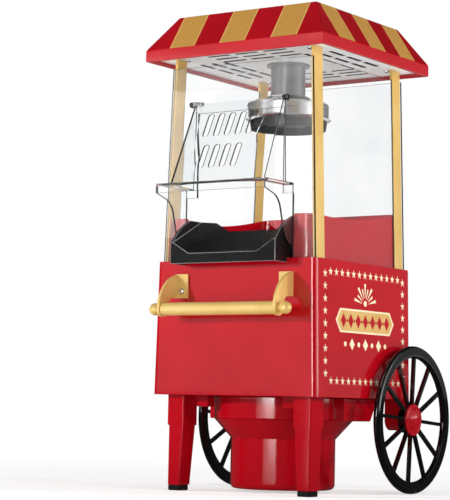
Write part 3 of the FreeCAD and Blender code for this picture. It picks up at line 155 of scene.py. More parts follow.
def blend_values(tree, share, first, second):
    node = add(tree, "Mix", {"data_type": "FLOAT"})
    plug(tree, node.inputs[0], share)
    plug(tree, node.inputs[2], first)
    plug(tree, node.inputs[3], second)
    return node.outputs[0]


NOISE_LOW = 0.3
NOISE_HIGH = 0.7


def spread(tree, value, low, high):
    """Maps the middle of a noise to a range."""
    node = add(
        tree, "MapRange", Value=value, From_Min=NOISE_LOW, From_Max=NOISE_HIGH, To_Min=low, To_Max=high,
    )
    return node.outputs[0]


def bumpy(tree, shader, height, strength, distance=0.0002):
    node = add(tree, "Bump", Strength=strength, Distance=distance, Height=height)
    tree.links.new(node.outputs[0], shader.inputs["Normal"])


def bounced(tree, path, kind):
    """1 for a ray that has bounced in this way, Glossy or Diffuse, and 0 for the rest."""
    return calc(tree, "GREATER_THAN", path.outputs[kind + " Depth"], 0.5)


# Materials

RED_DARK = lin(183, 7, 24)
RED_LIGHT = lin(195, 10, 29)
ROOF_RED_DARK = lin(168, 6, 20)
ROOF_RED_LIGHT = lin(180, 9, 25)
ROOF_GOLD_DARK = lin(186, 136, 60)
ROOF_GOLD_LIGHT = lin(200, 150, 74)
BAND_LINE = lin(232, 190, 112)
GOLD_DARK = lin(228, 190, 108)
GOLD_LIGHT = lin(240, 208, 132)
# Painted shade: the posts carry the same gold paint as the brackets, given darker here
POST_SHADE_DARK = lin(210, 170, 92)
POST_SHADE_LIGHT = lin(226, 190, 112)
CLEAR_TINT = lin(248, 250, 251)
CLEAR_WHITE = lin(254, 254, 254)
CLEAR_IOR = 1.33
CLEAR_SHADOW = (0.96, 0.96, 0.96, 1)

BAND_COUNT = 7
BAND_EDGE = 0.47               # where a band's pale line starts, from its middle, as a share of its width
SLOPE_LEAST_UP = 0.3           # upward part of the normals of the roof's slopes
SLOPE_MOST_UP = 0.85

BRUSHED_UP = (900, 900, 12)
BRUSHED_ACROSS = (12, 900, 900)
TURNED = (40, 40, 1200)


def moulded(name, dark, light, rough, grain_scale, grain, cloud_scale=22.0, specular=0.5):
    """Moulded plastic: cloudy tone, uneven gloss and a fine skin."""
    material, tree, shader = blank(name)
    where = place(tree)
    cloud = noise(tree, where, scale=cloud_scale, detail=4)
    gloss = noise(tree, where, scale=75, detail=5)
    skin = noise(tree, where, scale=grain_scale, detail=3)
    plug(tree, shader.inputs["Base Color"], blend_colors(tree, spread(tree, cloud, 0, 1), dark, light))
    plug(tree, shader.inputs["Roughness"], spread(tree, gloss, *rough))
    shader.inputs["Specular IOR Level"].default_value = specular
    bumpy(tree, shader, skin, strength=grain)
    return material


def metal(name, dark, light, rough, stretch, metallic=1.0, grain=0.08, streaks=0.6):
    """Metal or metallic paint, with streaks drawn out along the axes where stretch is smallest."""
    material, tree, shader = blank(name)
    streak = noise(tree, place(tree, stretch), scale=1.0, detail=4)
    cloud = noise(tree, place(tree), scale=30, detail=3)
    tone = spread(tree, blend_values(tree, streaks, cloud, streak), 0, 1)
    plug(tree, shader.inputs["Base Color"], blend_colors(tree, tone, dark, light))
    plug(tree, shader.inputs["Roughness"], spread(tree, streak, *rough))
    shader.inputs["Metallic"].default_value = metallic
    bumpy(tree, shader, streak, strength=grain, distance=0.0001)
    return material


def canopy_paint():
    """Red roof with gold bands on its four slopes; the fascia, top and inside stay red."""
    material, tree, shader = blank("canopy_paint")
    where = place(tree)
    spot = add(tree, "SeparateXYZ", Vector=where)
    normal = add(tree, "SeparateXYZ", Vector=add(tree, "NewGeometry").outputs["True Normal"])
    low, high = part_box("canopy_shell")
    bands = []
    for axis in (0, 1):
        along = calc(tree, "SUBTRACT", spot.outputs[axis], low[axis])
        bands.append(calc(tree, "DIVIDE", along, (high - low)[axis] / BAND_COUNT))
    toward_x = calc(tree, "ABSOLUTE", normal.outputs["X"])
    toward_y = calc(tree, "ABSOLUTE", normal.outputs["Y"])
    band = blend_values(tree, calc(tree, "GREATER_THAN", toward_x, toward_y), *bands)
    odd = calc(tree, "GREATER_THAN", calc(tree, "MODULO", band, 2.0), 1.0)
    rising = calc(tree, "GREATER_THAN", normal.outputs["Z"], SLOPE_LEAST_UP)
    slope = calc(tree, "MULTIPLY", rising, calc(tree, "LESS_THAN", normal.outputs["Z"], SLOPE_MOST_UP))
    gold = calc(tree, "MULTIPLY", odd, slope)
    off_middle = calc(tree, "ABSOLUTE", calc(tree, "SUBTRACT", calc(tree, "FRACT", band), 0.5))
    border = calc(tree, "MULTIPLY", gold, calc(tree, "GREATER_THAN", off_middle, BAND_EDGE))
    cloud = spread(tree, noise(tree, where, scale=24, detail=4), 0, 1)
    speck = noise(tree, where, scale=1400, detail=2)
    red = blend_colors(tree, cloud, ROOF_RED_DARK, ROOF_RED_LIGHT)
    yellow = blend_colors(tree, spread(tree, speck, 0, 1), ROOF_GOLD_DARK, ROOF_GOLD_LIGHT)
    yellow = blend_colors(tree, border, yellow, BAND_LINE)
    plug(tree, shader.inputs["Base Color"], blend_colors(tree, gold, red, yellow))
    red_rough = spread(tree, noise(tree, where, scale=70, detail=4), 0.16, 0.24)
    gold_rough = spread(tree, speck, 0.45, 0.58)
    plug(tree, shader.inputs["Roughness"], blend_values(tree, gold, red_rough, gold_rough))
    bumpy(tree, shader, speck, strength=0.06)
    return material


def clear_plastic(name, clearness):
    """Clear sheet that lets lamp light through; what it doesn't pass shows as a white haze."""
    material, tree, shader = blank(name)
    where = place(tree)
    cloud = spread(tree, noise(tree, where, scale=16, detail=2), 0, 1)
    shader.inputs["Transmission Weight"].default_value = clearness
    shader.inputs["IOR"].default_value = CLEAR_IOR
    plug(tree, shader.inputs["Base Color"], blend_colors(tree, cloud, CLEAR_TINT, CLEAR_WHITE))
    plug(tree, shader.inputs["Roughness"], spread(tree, noise(tree, where, scale=60, detail=4), 0.0, 0.03))
    bumpy(tree, shader, noise(tree, where, scale=12, detail=1), strength=0.03, distance=0.0004)
    through = add(tree, "BsdfTransparent", Color=CLEAR_SHADOW)
    resurface(tree, shader, through, add(tree, "LightPath").outputs["Is Shadow Ray"])
    return material


RED = moulded("red_plastic", RED_DARK, RED_LIGHT, rough=(0.08, 0.13), grain_scale=900, grain=0.02)
RED_CAP = moulded("red_cap", RED_DARK, RED_LIGHT, rough=(0.17, 0.23), grain_scale=900, grain=0.02)
CANOPY = canopy_paint()
GOLD_UP = metal(
    "gold_bracket", GOLD_DARK, GOLD_LIGHT, rough=(0.30, 0.38),
    stretch=BRUSHED_UP, metallic=0.15, grain=0.02, streaks=0.15,
)
# Darker copy of the bracket gold for the posts: painted shade
GOLD_POST_PAINTED_SHADE = metal(
    "gold_post", POST_SHADE_DARK, POST_SHADE_LIGHT, rough=(0.30, 0.38),
    stretch=BRUSHED_UP, metallic=0.15, grain=0.02, streaks=0.15,
)
GOLD_ACROSS = metal(
    "gold_rod", GOLD_DARK, GOLD_LIGHT, rough=(0.26, 0.34),
    stretch=BRUSHED_ACROSS, metallic=0.15, grain=0.01, streaks=0.1,
)
CLEAR = clear_plastic("clear_plastic", clearness=0.985)
HAZY = clear_plastic("clear_front", clearness=0.95)
# Painted shade: near-black on the clear sheets' thin faces and on the hood's folded edges, standing in for
# the dark lines that refraction draws there
CLEAR_EDGE_PAINTED_SHADE = moulded(
    "clear_edge_painted_shade", lin(8, 8, 9), lin(20, 20, 22), rough=(0.10, 0.18), grain_scale=900, grain=0.02,
)
WHITE = moulded(
    "white_plastic", lin(248, 248, 247), lin(253, 253, 252), rough=(0.34, 0.46), grain_scale=1200, grain=0.04,
)
# Painted shade: the white ceiling plate's slot walls are painted near-black for the shade inside the slots
SLOT_PAINTED_SHADE = moulded(
    "slot_shade", lin(12, 12, 12), lin(22, 22, 22), rough=(0.5, 0.7), grain_scale=1200, grain=0.1,
)
KETTLE_GREY = metal(
    "kettle_grey", lin(112, 112, 114), lin(128, 128, 130), rough=(0.26, 0.36),
    stretch=TURNED, metallic=0.6, grain=0.01, streaks=0.3,
)
KETTLE_CAP = metal(
    "kettle_cap", lin(56, 56, 58), lin(70, 70, 72), rough=(0.34, 0.44),
    stretch=TURNED, metallic=0.1, grain=0.01, streaks=0.3,
)
KETTLE_LIGHT = metal(
    "kettle_light", lin(206, 206, 206), lin(222, 222, 222), rough=(0.26, 0.34),
    stretch=TURNED, grain=0.01, streaks=0.3,
)
DARK = metal(
    "dark_metal", lin(13, 13, 14), lin(22, 22, 23), rough=(0.34, 0.46),
    stretch=TURNED, metallic=0.2, grain=0.02, streaks=0.3,
)
BLACK = moulded(
    "black_plastic", lin(15, 15, 16), lin(21, 21, 22), rough=(0.26, 0.34),
    grain_scale=1600, grain=0.03, specular=0.15,
)
# Painted highlight: light grey on the chute's rounded edges, standing in for the lines of light they catch
BLACK_EDGE_PAINTED_HIGHLIGHT = moulded(
    "black_edge_painted_highlight", lin(120, 120, 122), lin(150, 150, 152), rough=(0.14, 0.22), grain_scale=1600, grain=0.02,
)
WHEEL = moulded(
    "wheel_black", lin(9, 9, 10), lin(14, 14, 15), rough=(0.08, 0.14), grain_scale=1500, grain=0.03,
)
RUBBER = moulded(
    "rubber", lin(24, 24, 24), lin(38, 38, 38), rough=(0.6, 0.75), grain_scale=2200, grain=0.2,
)
STEEL = metal("steel", lin(160, 162, 165), lin(198, 200, 203), rough=(0.24, 0.36), stretch=(60, 60, 900))
CHROME = metal(
    "chrome", lin(206, 208, 210), lin(228, 229, 230), rough=(0.08, 0.16), stretch=(300, 300, 300), grain=0.02,
)
ALUMINIUM = metal(
    "aluminium", lin(178, 180, 182), lin(206, 208, 210), rough=(0.28, 0.4), stretch=(60, 60, 1000),
)
INSULATOR = moulded(
    "insulator", lin(196, 182, 150), lin(214, 202, 172), rough=(0.6, 0.75), grain_scale=1500, grain=0.15,
)
CREAM = moulded(
    "cream_print", lin(252, 232, 188), lin(255, 242, 208), rough=(0.3, 0.42),
    grain_scale=1800, grain=0.06, cloud_scale=60,
)
GOLD_PRINT = moulded(
    "gold_print", lin(214, 168, 88), lin(226, 184, 106), rough=(0.3, 0.42),
    grain_scale=1800, grain=0.06, cloud_scale=60,
)

BY_SLOT = {
    "red_plastic": RED, "canopy_paint": CANOPY, "gold_paint": GOLD_UP, "clear_plastic": CLEAR,
    "white_plastic": WHITE, "kettle_grey": KETTLE_GREY, "kettle_light": KETTLE_LIGHT, "dark_metal": DARK,
    "black_plastic": BLACK, "wheel_black": WHEEL, "rubber": RUBBER, "steel": STEEL, "chrome": CHROME,
    "aluminium": ALUMINIUM, "insulator": INSULATOR,
}
BY_NODE = {
    "handle_rod": GOLD_ACROSS, "handle_knobs": GOLD_ACROSS, "front_panel": HAZY, "kettle_cap": KETTLE_CAP,
    "post_front_left": GOLD_POST_PAINTED_SHADE, "post_front_right": GOLD_POST_PAINTED_SHADE,
    "post_rear_left": GOLD_POST_PAINTED_SHADE, "post_rear_right": GOLD_POST_PAINTED_SHADE,
}
SLOT_OF = {}
for name, node in NODES.items():
    SLOT_OF[name] = node.data.materials[0].name.split(".")[0]
    node.data.materials[0] = BY_NODE.get(name, BY_SLOT[SLOT_OF[name]])


# Pieces that stand in for nodes

SMOOTH_ANGLE = math.radians(35)
SHARP_ANGLE = math.radians(32)
COPLANAR_ANGLE = math.radians(2)
FLAT_ANGLE = math.radians(0.4)
WELD_REACH = 0.002             # mm, like the sizes below
THIN_FACE = 3.0                # faces with a smaller mean width are thin

BASE_LOW, BASE_HIGH = box_mm("base_shell")
BASE_HALF_Y = (BASE_HIGH.y - BASE_LOW.y) / 2
BASE_LEAN = 2.75               # how far each side wall leans in from the bottom to the top
BASE_SKIN = 2.0                # edges this far inside the outline still count as on it
MIDDLE_Y = (BASE_HIGH.y + BASE_LOW.y) / 2
ROOF_LOW, ROOF_HIGH = box_mm("canopy_shell")
ROOF_HALF_Y = (ROOF_HIGH.y - ROOF_LOW.y) / 2
ROOF_RISE = 32.4               # height of the slopes
ROOF_INSET_X = 21.35           # how far the slopes run in
ROOF_INSET_Y = 21.75
ROOF_SKIN = 0.8
HOOD_PAINTED_SHADE_TOP = 340.0          # thin faces of the hood above this stay clear; those below get painted shade
HOOD_SHORTEST = 20.0           # shorter edges of the hood stay sharp


def keep(name, bm, materials, body):
    """Turns a bmesh into a smooth-shaded piece that rides on a body."""
    mesh = bpy.data.meshes.new(name)
    bm.to_mesh(mesh)
    bm.free()
    for material in materials:
        mesh.materials.append(material)
    for face in mesh.polygons:
        face.use_smooth = True
    mesh.set_sharp_from_angle(angle=SMOOTH_ANGLE)
    piece = bpy.data.objects.new(name, mesh)
    bpy.context.scene.collection.objects.link(piece)
    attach(piece, body)
    return piece


def mark_thin_faces(bm, below):
    """Gives narrow faces under a height in mm the second material, but not strips of a wider flat face."""
    for face in bm.faces:
        narrow = 2 * face.calc_area() / face.calc_perimeter() < THIN_FACE * MM
        if narrow and face.calc_center_median().z < below * MM:
            face.material_index = 1
    for edge in bm.edges:
        if len(edge.link_faces) == 2 and edge.calc_face_angle() < COPLANAR_ANGLE:
            shared = min(face.material_index for face in edge.link_faces)
            for face in edge.link_faces:
                face.material_index = shared


def sharp_edges(bm, pick, shortest):
    """Sharp edges over a length in mm, at the places that pick takes."""
    found = []
    for edge in bm.edges:
        long_enough = edge.calc_length() > shortest * MM
        if long_enough and len(edge.link_faces) == 2 and edge.calc_face_angle() > SHARP_ANGLE:
            middle = (edge.verts[0].co + edge.verts[1].co) / (2 * MM)
            if pick is None or pick(abs(middle.x), abs(middle.y - MIDDLE_Y), middle.z):
                found.append(edge)
    return found


def refine(name, width=0.0, pick=None, thin=None, below=math.inf, edge_material=None, shortest=0.0):
    """Stands in for a node: the same solid with its sharp edges rounded to a width in mm, and with other
    materials on its thin faces and its rounded edges."""
    node = NODES[name]
    bm = bmesh.new()
    bm.from_mesh(node.data)
    bmesh.ops.remove_doubles(bm, verts=bm.verts, dist=WELD_REACH * MM)
    bmesh.ops.dissolve_limit(bm, angle_limit=FLAT_ANGLE, verts=bm.verts, edges=bm.edges)
    if thin:
        mark_thin_faces(bm, below)
    if width:
        bmesh.ops.bevel(
            bm, geom=sharp_edges(bm, pick, shortest), offset=width * MM, offset_type="OFFSET", segments=2,
            profile=0.5, affect="EDGES", clamp_overlap=True, material=1 if edge_material else -1,
        )
    plain = node.data.materials[0]
    materials = [plain, thin or edge_material or plain]
    piece = keep(name + "_refined", bm, materials, node["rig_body"])
    weighted = piece.modifiers.new("normals", "WEIGHTED_NORMAL")
    weighted.keep_sharp = True
    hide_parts(name)


def wall_x(z):
    """Distance of the base box's leaning side wall from the middle, in mm."""
    return BASE_HIGH.x - BASE_LEAN * (z - BASE_LOW.z) / (BASE_HIGH.z - BASE_LOW.z)


def on_base_outline(x, y, z):
    """True on the base box's outside."""
    return max(x - wall_x(z), y - BASE_HALF_Y) > -BASE_SKIN


def on_roof_outline(x, y, z):
    """True on the canopy's outside: an upright fascia, then slopes that run in to the flat top."""
    rise = max(0.0, (z - (ROOF_HIGH.z - ROOF_RISE)) / ROOF_RISE)
    past_x = x - ROOF_HIGH.x + ROOF_INSET_X * rise
    past_y = y - ROOF_HALF_Y + ROOF_INSET_Y * rise
    return max(past_x, past_y) > -ROOF_SKIN


refine("base_shell", width=0.8, pick=on_base_outline)
refine("canopy_shell", width=0.8, pick=on_roof_outline)
# The chute's rounded edges get a painted highlight
refine("chute", width=0.4, edge_material=BLACK_EDGE_PAINTED_HIGHLIGHT)
refine("lower_tray", width=1.2)
# The ceiling plate's slot walls get painted shade
refine("ceiling_plate", thin=SLOT_PAINTED_SHADE)
# The clear sheets' thin faces get painted shade in this loop and below, and so do the hood's folded edges
for word in ("left", "right"):
    refine("leg_" + word, width=0.5)
    refine("foot_pad_" + word, width=0.8)
    refine("axle_bracket_" + word, width=0.6)
    refine("handle_bracket_" + word, width=0.35)
    refine("side_panel_" + word, thin=CLEAR_EDGE_PAINTED_SHADE)
    refine("post_front_" + word, width=0.5)
    refine("post_rear_" + word, width=0.5)
for name in ("front_panel", "rear_panel"):
    refine(name, thin=CLEAR_EDGE_PAINTED_SHADE)
refine(
    "hood", width=0.45, thin=CLEAR_EDGE_PAINTED_SHADE, below=HOOD_PAINTED_SHADE_TOP,
    edge_material=CLEAR_EDGE_PAINTED_SHADE, shortest=HOOD_SHORTEST,
)
refine("switch_housing", width=0.4)
refine("switch_rocker", width=0.4)


# Turned pieces: hub caps and screws

CAP_COUNT = 72
CAP_RING = (                   # reach from the axle and rise over the hub
    (14.5, 0.0), (14.5, 0.8), (14.3, 1.4), (13.8, 1.85), (13.2, 2.0), (12.7, 1.9), (12.3, 1.5), (11.7, 1.4),
)
DOME_R = 11.6
DOME_EDGE_R = 11.5
DOME_RISE = 4.6
DOME_STEPS = 11

HEAD_COUNT = 40
HEAD_R = 3.0
HEAD_H = 1.8
HEAD_PROFILE = (               # shares of the head's radius and height
    (1.0, 0.0), (1.0, 0.35), (0.93, 0.68), (0.80, 0.90), (0.62, 1.0),
)
CROSS_ARM = 0.50 * HEAD_R
CROSS_HALF = 0.13 * HEAD_R
CROSS_FLOOR = 0.35 * HEAD_H
SHANK_R = 1.5
SHANK_TIP_R = 1.2
SHANK_LENGTH = 9.0
SHANK_COUNT = 20


def join_loops(bm, outer, inner):
    """Faces between two loops of as many points."""
    for step in range(len(outer)):
        after = (step + 1) % len(outer)
        bm.faces.new((outer[step], outer[after], inner[after], inner[step]))


def turned(bm, profile, count, put):
    """Rings of a turned shape joined by faces; put places a point from its two reaches and its rise in mm."""
    rings = []
    for reach, rise in profile:
        ring = []
        for step in range(count):
            angle = 2 * math.pi * step / count
            ring.append(bm.verts.new(put(reach * math.cos(angle), reach * math.sin(angle), rise)))
        rings.append(ring)
    for outer, inner in zip(rings, rings[1:]):
        join_loops(bm, outer, inner)
    return rings


def turned_cap(node, side):
    """Domed hub cap with a raised ring round it, in place of a node's plain one."""
    low, high = box_mm(node)
    middle = (low + high) / 2
    seat, top = sorted((abs(low.x), abs(high.x)))
    sphere_r = (DOME_R ** 2 + DOME_RISE ** 2) / (2 * DOME_RISE)
    profile = list(CAP_RING)
    for step in range(DOME_STEPS, 0, -1):
        reach = DOME_EDGE_R * step / DOME_STEPS
        profile.append((reach, top - seat - sphere_r + math.sqrt(sphere_r ** 2 - reach ** 2)))

    def put(across, up, rise):
        return Vector((side * (seat + rise), middle.y + across, middle.z + up)) * MM

    bm = bmesh.new()
    rings = turned(bm, profile, CAP_COUNT, put)
    peak = bm.verts.new(put(0, 0, top - seat))
    for step in range(CAP_COUNT):
        bm.faces.new((rings[-1][step], rings[-1][(step + 1) % CAP_COUNT], peak))
    bm.faces.new(rings[0])
    bmesh.ops.recalc_face_normals(bm, faces=bm.faces)
    piece = keep(node + "_turned", bm, [RED_CAP], NODES[node]["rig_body"])
    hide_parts(node)


def cross_outline():
    """Corners of a cross recess."""
    quarter = [(CROSS_ARM, -CROSS_HALF), (CROSS_ARM, CROSS_HALF), (CROSS_HALF, CROSS_HALF)]
    corners = []
    for _ in range(4):
        corners.extend(quarter)
        quarter = [(-y, x) for x, y in quarter]
    return corners


def crossed_head(bm, seat, axis):
    """Pan head with a cross recess, standing on a seat in mm and facing along axis."""
    turn = axis.to_track_quat("Z", "Y").to_matrix()

    def put(x, y, rise):
        return (seat + turn @ Vector((x, y, rise))) * MM

    profile = [(reach * HEAD_R, level * HEAD_H) for reach, level in HEAD_PROFILE]
    rings = turned(bm, profile, HEAD_COUNT, put)
    rim = [bm.verts.new(put(x, y, HEAD_H)) for x, y in cross_outline()]
    floor = [bm.verts.new(put(x, y, CROSS_FLOOR)) for x, y in cross_outline()]
    join_loops(bm, rim, floor)
    bm.faces.new(floor)
    border = []
    for loop in (rings[-1], rim):
        for step in range(len(loop)):
            pair = (loop[step], loop[(step + 1) % len(loop)])
            border.append(bm.edges.get(pair) or bm.edges.new(pair))
    bmesh.ops.triangle_fill(bm, edges=border, use_beauty=True)


def screw_seats(node, axis):
    """Where the heads of a node's screws sit, in mm: in the corners of its box, at its low end along axis.
    The frame's heads are faceted and their box a little small, so the distances are rounded to 0.1 mm."""
    low, high = box_mm(node)
    choices = []
    for index in range(3):
        middle = (low[index] + high[index]) / 2
        reach = round((high[index] - low[index]) / 2 - HEAD_R, 1)
        if axis[index]:
            choices.append([low[index] + HEAD_H])
        elif reach:
            choices.append([middle + reach, middle - reach])
        else:
            choices.append([middle])
    return [Vector(seat) for seat in itertools.product(*choices)]


def screws(node, axis, material):
    """Screws with cross-recess heads in place of a node's plain ones."""
    axis = Vector(axis)
    shank_turn = (-axis).to_track_quat("Z", "Y").to_matrix().to_4x4()
    bm = bmesh.new()
    for seat in screw_seats(node, axis):
        crossed_head(bm, seat, axis)
        middle = (seat - axis * SHANK_LENGTH / 2) * MM
        bmesh.ops.create_cone(
            bm, cap_ends=True, segments=SHANK_COUNT, radius1=SHANK_R * MM, radius2=SHANK_TIP_R * MM,
            depth=SHANK_LENGTH * MM, matrix=Matrix.Translation(middle) @ shank_turn,
        )
    bmesh.ops.recalc_face_normals(bm, faces=bm.faces)
    piece = keep(node + "_crossed", bm, [material], NODES[node]["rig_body"])
    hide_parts(node)


turned_cap("hub_cap_right", 1)
turned_cap("hub_cap_left", -1)
screws("bracket_screws", (0, -1, 0), CHROME)
screws("ceiling_screws", (0, 0, -1), CHROME)
screws("floor_screws", (0, 0, -1), STEEL)


# Print on the side walls: u runs back from the base's middle, v up from the floor, in mm

FIRST_COAT = (0.01, 0.10)      # lowest and highest point of a coat of print off the wall
SECOND_COAT = (0.105, 0.15)
THIRD_COAT = (0.155, 0.20)

STAR_R = 3.9
STAR_INNER = 0.35              # inner corners, as a share of the radius
STAR_POINTS = 5
STARS_ALONG = 13
STARS_UP = 9
STAR_STEP_U = 9.73
STAR_STEP_V = 10.8
BORDER_U = 0.8
BORDER_HALF_U = 67.4
BORDER_LOW_V = 99.8
BORDER_HIGH_V = 194.3
FIRST_STAR_V = 105.9

EMBLEM_U = 1.0
EACH_WAY = 3                   # shapes of a row on each side of its middle one
PLAQUE_V = 153.0
PLAQUE_HALF_U = 43.0
PLAQUE_HALF_V = 10.5
PLAQUE_POINT = 0.7             # length of the plaque's pointed ends, as a share of its half height
PLATE_HALF_U = 41.6
PLATE_HALF_V = 8.9
INLAY_STEP = 12.5
INLAY_HALF_U = 4.6
INLAY_HALF_V = 6.4
INLAY_DOT_R = 1.3
SUN_V = 169.5
SUN_R = 2.6
RAY_COUNT = 9
RAY_V = 168.0
RAY_START = 6.0
RAY_LONG = 19.0
RAY_SHORT = 15.0
RAY_FIRST = 14.0               # degrees, like the next two
RAY_STEP = 19.0
RAY_SPREAD = 8.5
RAY_FOOT = 0.35                # angle that a ray's foot takes, as a share of its spread
ROW_V = 132.5
ROW_STEP = 11.5
ROW_HALF_U = 4.4
ROW_HALF_V = 5.2
ROW_DOT_R = 2.2


def star(u, v):
    corners = []
    for step in range(2 * STAR_POINTS):
        angle = math.radians(90 + 180 / STAR_POINTS * step)
        reach = STAR_R if step % 2 == 0 else STAR_R * STAR_INNER
        corners.append((u + reach * math.cos(angle), v + reach * math.sin(angle)))
    return corners


def diamond(u, v, half_u, half_v):
    return [(u + half_u, v), (u, v + half_v), (u - half_u, v), (u, v - half_v)]


def disc(u, v, radius, count=32):
    corners = []
    for step in range(count):
        angle = 2 * math.pi * step / count
        corners.append((u + radius * math.cos(angle), v + radius * math.sin(angle)))
    return corners


def plaque(half_u, half_v):
    """Long hexagon with pointed ends."""
    point = half_u + half_v * PLAQUE_POINT
    shape = [
        (half_u, -half_v), (point, 0), (half_u, half_v), (-half_u, half_v), (-point, 0), (-half_u, -half_v),
    ]
    return [(EMBLEM_U + u, PLAQUE_V + v) for u, v in shape]


def ray(length, angle):
    """Ray of the sunburst, wider at its far end; angle in degrees."""
    corners = []
    for reach, offset in ((RAY_START, -RAY_FOOT), (length, -1), (length, 1), (RAY_START, RAY_FOOT)):
        turn = math.radians(angle + offset * RAY_SPREAD / 2)
        corners.append((EMBLEM_U + reach * math.cos(turn), RAY_V + reach * math.sin(turn)))
    return corners


def star_border():
    """Stars along the top and the bottom and up each end."""
    outlines = []
    for index in range(STARS_ALONG):
        along = BORDER_U + (index - STARS_ALONG // 2) * STAR_STEP_U
        outlines.append(star(along, BORDER_HIGH_V))
        outlines.append(star(along, BORDER_LOW_V))
    for index in range(STARS_UP):
        up = FIRST_STAR_V + index * STAR_STEP_V
        outlines.append(star(BORDER_U - BORDER_HALF_U, up))
        outlines.append(star(BORDER_U + BORDER_HALF_U, up))
    return outlines


def emblem():
    """Half sunburst over a long plaque, with a row of dots and diamonds under it."""
    outlines = [plaque(PLAQUE_HALF_U, PLAQUE_HALF_V), disc(EMBLEM_U, SUN_V, SUN_R)]
    for index in range(RAY_COUNT):
        outlines.append(ray(RAY_LONG if index % 2 == 0 else RAY_SHORT, RAY_FIRST + RAY_STEP * index))
    for index in range(-EACH_WAY, EACH_WAY + 1):
        along = EMBLEM_U + ROW_STEP * index
        if index % 2 == 0:
            outlines.append(diamond(along, ROW_V, ROW_HALF_U, ROW_HALF_V))
        else:
            outlines.append(disc(along, ROW_V, ROW_DOT_R))
    return outlines


def emblem_inlay():
    """Row of diamonds on the plaque, with dots between them."""
    outlines = []
    for index in range(-EACH_WAY, EACH_WAY + 1):
        outlines.append(diamond(EMBLEM_U + INLAY_STEP * index, PLAQUE_V, INLAY_HALF_U, INLAY_HALF_V))
    for index in range(-EACH_WAY, EACH_WAY):
        outlines.append(disc(EMBLEM_U + INLAY_STEP * (index + 0.5), PLAQUE_V, INLAY_DOT_R, count=20))
    return outlines


def printed(name, outlines, side, coat, material):
    """Flat printed shapes on a side wall of the base box."""
    bm = bmesh.new()
    for outline in outlines:
        loops = []
        for lift in coat:
            loop = []
            for u, v in outline:
                loop.append(bm.verts.new(Vector((side * (wall_x(v) + lift), MIDDLE_Y + u, v)) * MM))
            loops.append(loop)
        bm.faces.new(loops[1])
        join_loops(bm, *loops)
    bmesh.ops.recalc_face_normals(bm, faces=bm.faces)
    keep(name, bm, [material], "cart")


for side, word in ((1, "right"), (-1, "left")):
    printed("star_border_" + word, star_border(), side, FIRST_COAT, CREAM)
    printed("emblem_" + word, emblem(), side, FIRST_COAT, CREAM)
    plate = plaque(PLATE_HALF_U, PLATE_HALF_V)
    printed("emblem_plaque_" + word, [plate], side, SECOND_COAT, GOLD_PRINT)
    printed("emblem_inlay_" + word, emblem_inlay(), side, THIRD_COAT, RED)


# Camera

YAW = math.radians(34.80)
PITCH = math.radians(4.77)
ROLL = math.radians(1.22)
CAMERA_SPOT = (0.94444, -1.463795, 0.07406)
SENSOR_MM = 36
LENS_MM = 136.743

forward = Vector((-math.sin(YAW) * math.cos(PITCH), math.cos(YAW) * math.cos(PITCH), math.sin(PITCH)))
level_right = Vector((math.cos(YAW), math.sin(YAW), 0))
level_up = level_right.cross(forward)
right = level_right * math.cos(ROLL) + level_up * math.sin(ROLL)
up = level_up * math.cos(ROLL) - level_right * math.sin(ROLL)
turn = Matrix((right, up, -forward)).transposed().to_4x4()
camera = bpy.data.objects.new("camera", bpy.data.cameras.new("camera"))
camera.data.sensor_width = SENSOR_MM
camera.data.lens = LENS_MM
camera.matrix_world = Matrix.Translation(CAMERA_SPOT) @ turn
bpy.context.scene.collection.objects.link(camera)
bpy.context.scene.camera = camera
bpy.context.scene.view_settings.view_transform = "Standard"


# Studio, in metres: lamps that light the object, and cards that show only in its gloss

AIM = Vector((0, 0, 0.2))
LAMP_DISTANCE = 1.8
CARD_DISTANCE = 1.6
CARD_STEP = 4                  # degrees
ARCH_STEPS = 16
SHEET_COUNT = 48
SOFTBOX_TOP = 0.52
FLAG_TOP = 1.5
SIDE_FLAG_TOP = 0.8
NEAR_R = 0.24                  # ring of flags on the floor round the legs
NEAR_TOP = 0.088
FLOOR_LIFT = 0.0008
PURE_WHITE = (1, 1, 1, 1)
WORLD_FILL = 0.25
WORLD_GLOSS = 0.75
PAST_GLASS = 0.1               # makes up for what the clear sheets hold back
FLOOR_HALF = 12
FLOOR_DARK = (0.92, 0.92, 0.92, 1)
FLOOR_LIGHT = (0.95, 0.95, 0.95, 1)
FLOOR_GLOW = 0.56
FAR_START = 0.35
FAR_END = 0.9
FAR_GLOW = 1.0
BOUNCE_GLOW = 2.2


def toward(azimuth, elevation, distance):
    """Point seen from the object: azimuth from the front toward its right side, in degrees."""
    turn = math.radians(azimuth)
    rise = math.radians(elevation)
    reach = distance * math.cos(rise)
    return AIM + Vector((reach * math.sin(turn), -reach * math.cos(turn), distance * math.sin(rise)))


def lamp(name, azimuth, elevation, size, power):
    """Round lamp that faces the object and isn't mirrored in it."""
    data = bpy.data.lights.new(name, "AREA")
    data.shape = "DISK"
    data.size = size
    data.energy = power
    thing = bpy.data.objects.new(name, data)
    spot = toward(azimuth, elevation, LAMP_DISTANCE)
    facing = (AIM - spot).to_track_quat("-Z", "Y").to_matrix().to_4x4()
    thing.matrix_world = Matrix.Translation(spot) @ facing
    thing.visible_glossy = False
    thing.visible_transmission = False
    bpy.context.scene.collection.objects.link(thing)


def gloss_material():
    """Glow that shows only in what surfaces mirror."""
    material = bpy.data.materials.new("gloss_card")
    material.use_nodes = True
    tree = material.node_tree
    tree.nodes.clear()
    strength = add(tree, "Attribute", {"attribute_name": "glow"}).outputs["Fac"]
    glow = add(tree, "Emission", Strength=strength).outputs[0]
    unseen = add(tree, "BsdfTransparent").outputs[0]
    mirrored = bounced(tree, add(tree, "LightPath"), "Glossy")
    add(tree, "OutputMaterial", Surface=mix_shaders(tree, mirrored, unseen, glow))
    return material


GLOSS_CARD = gloss_material()


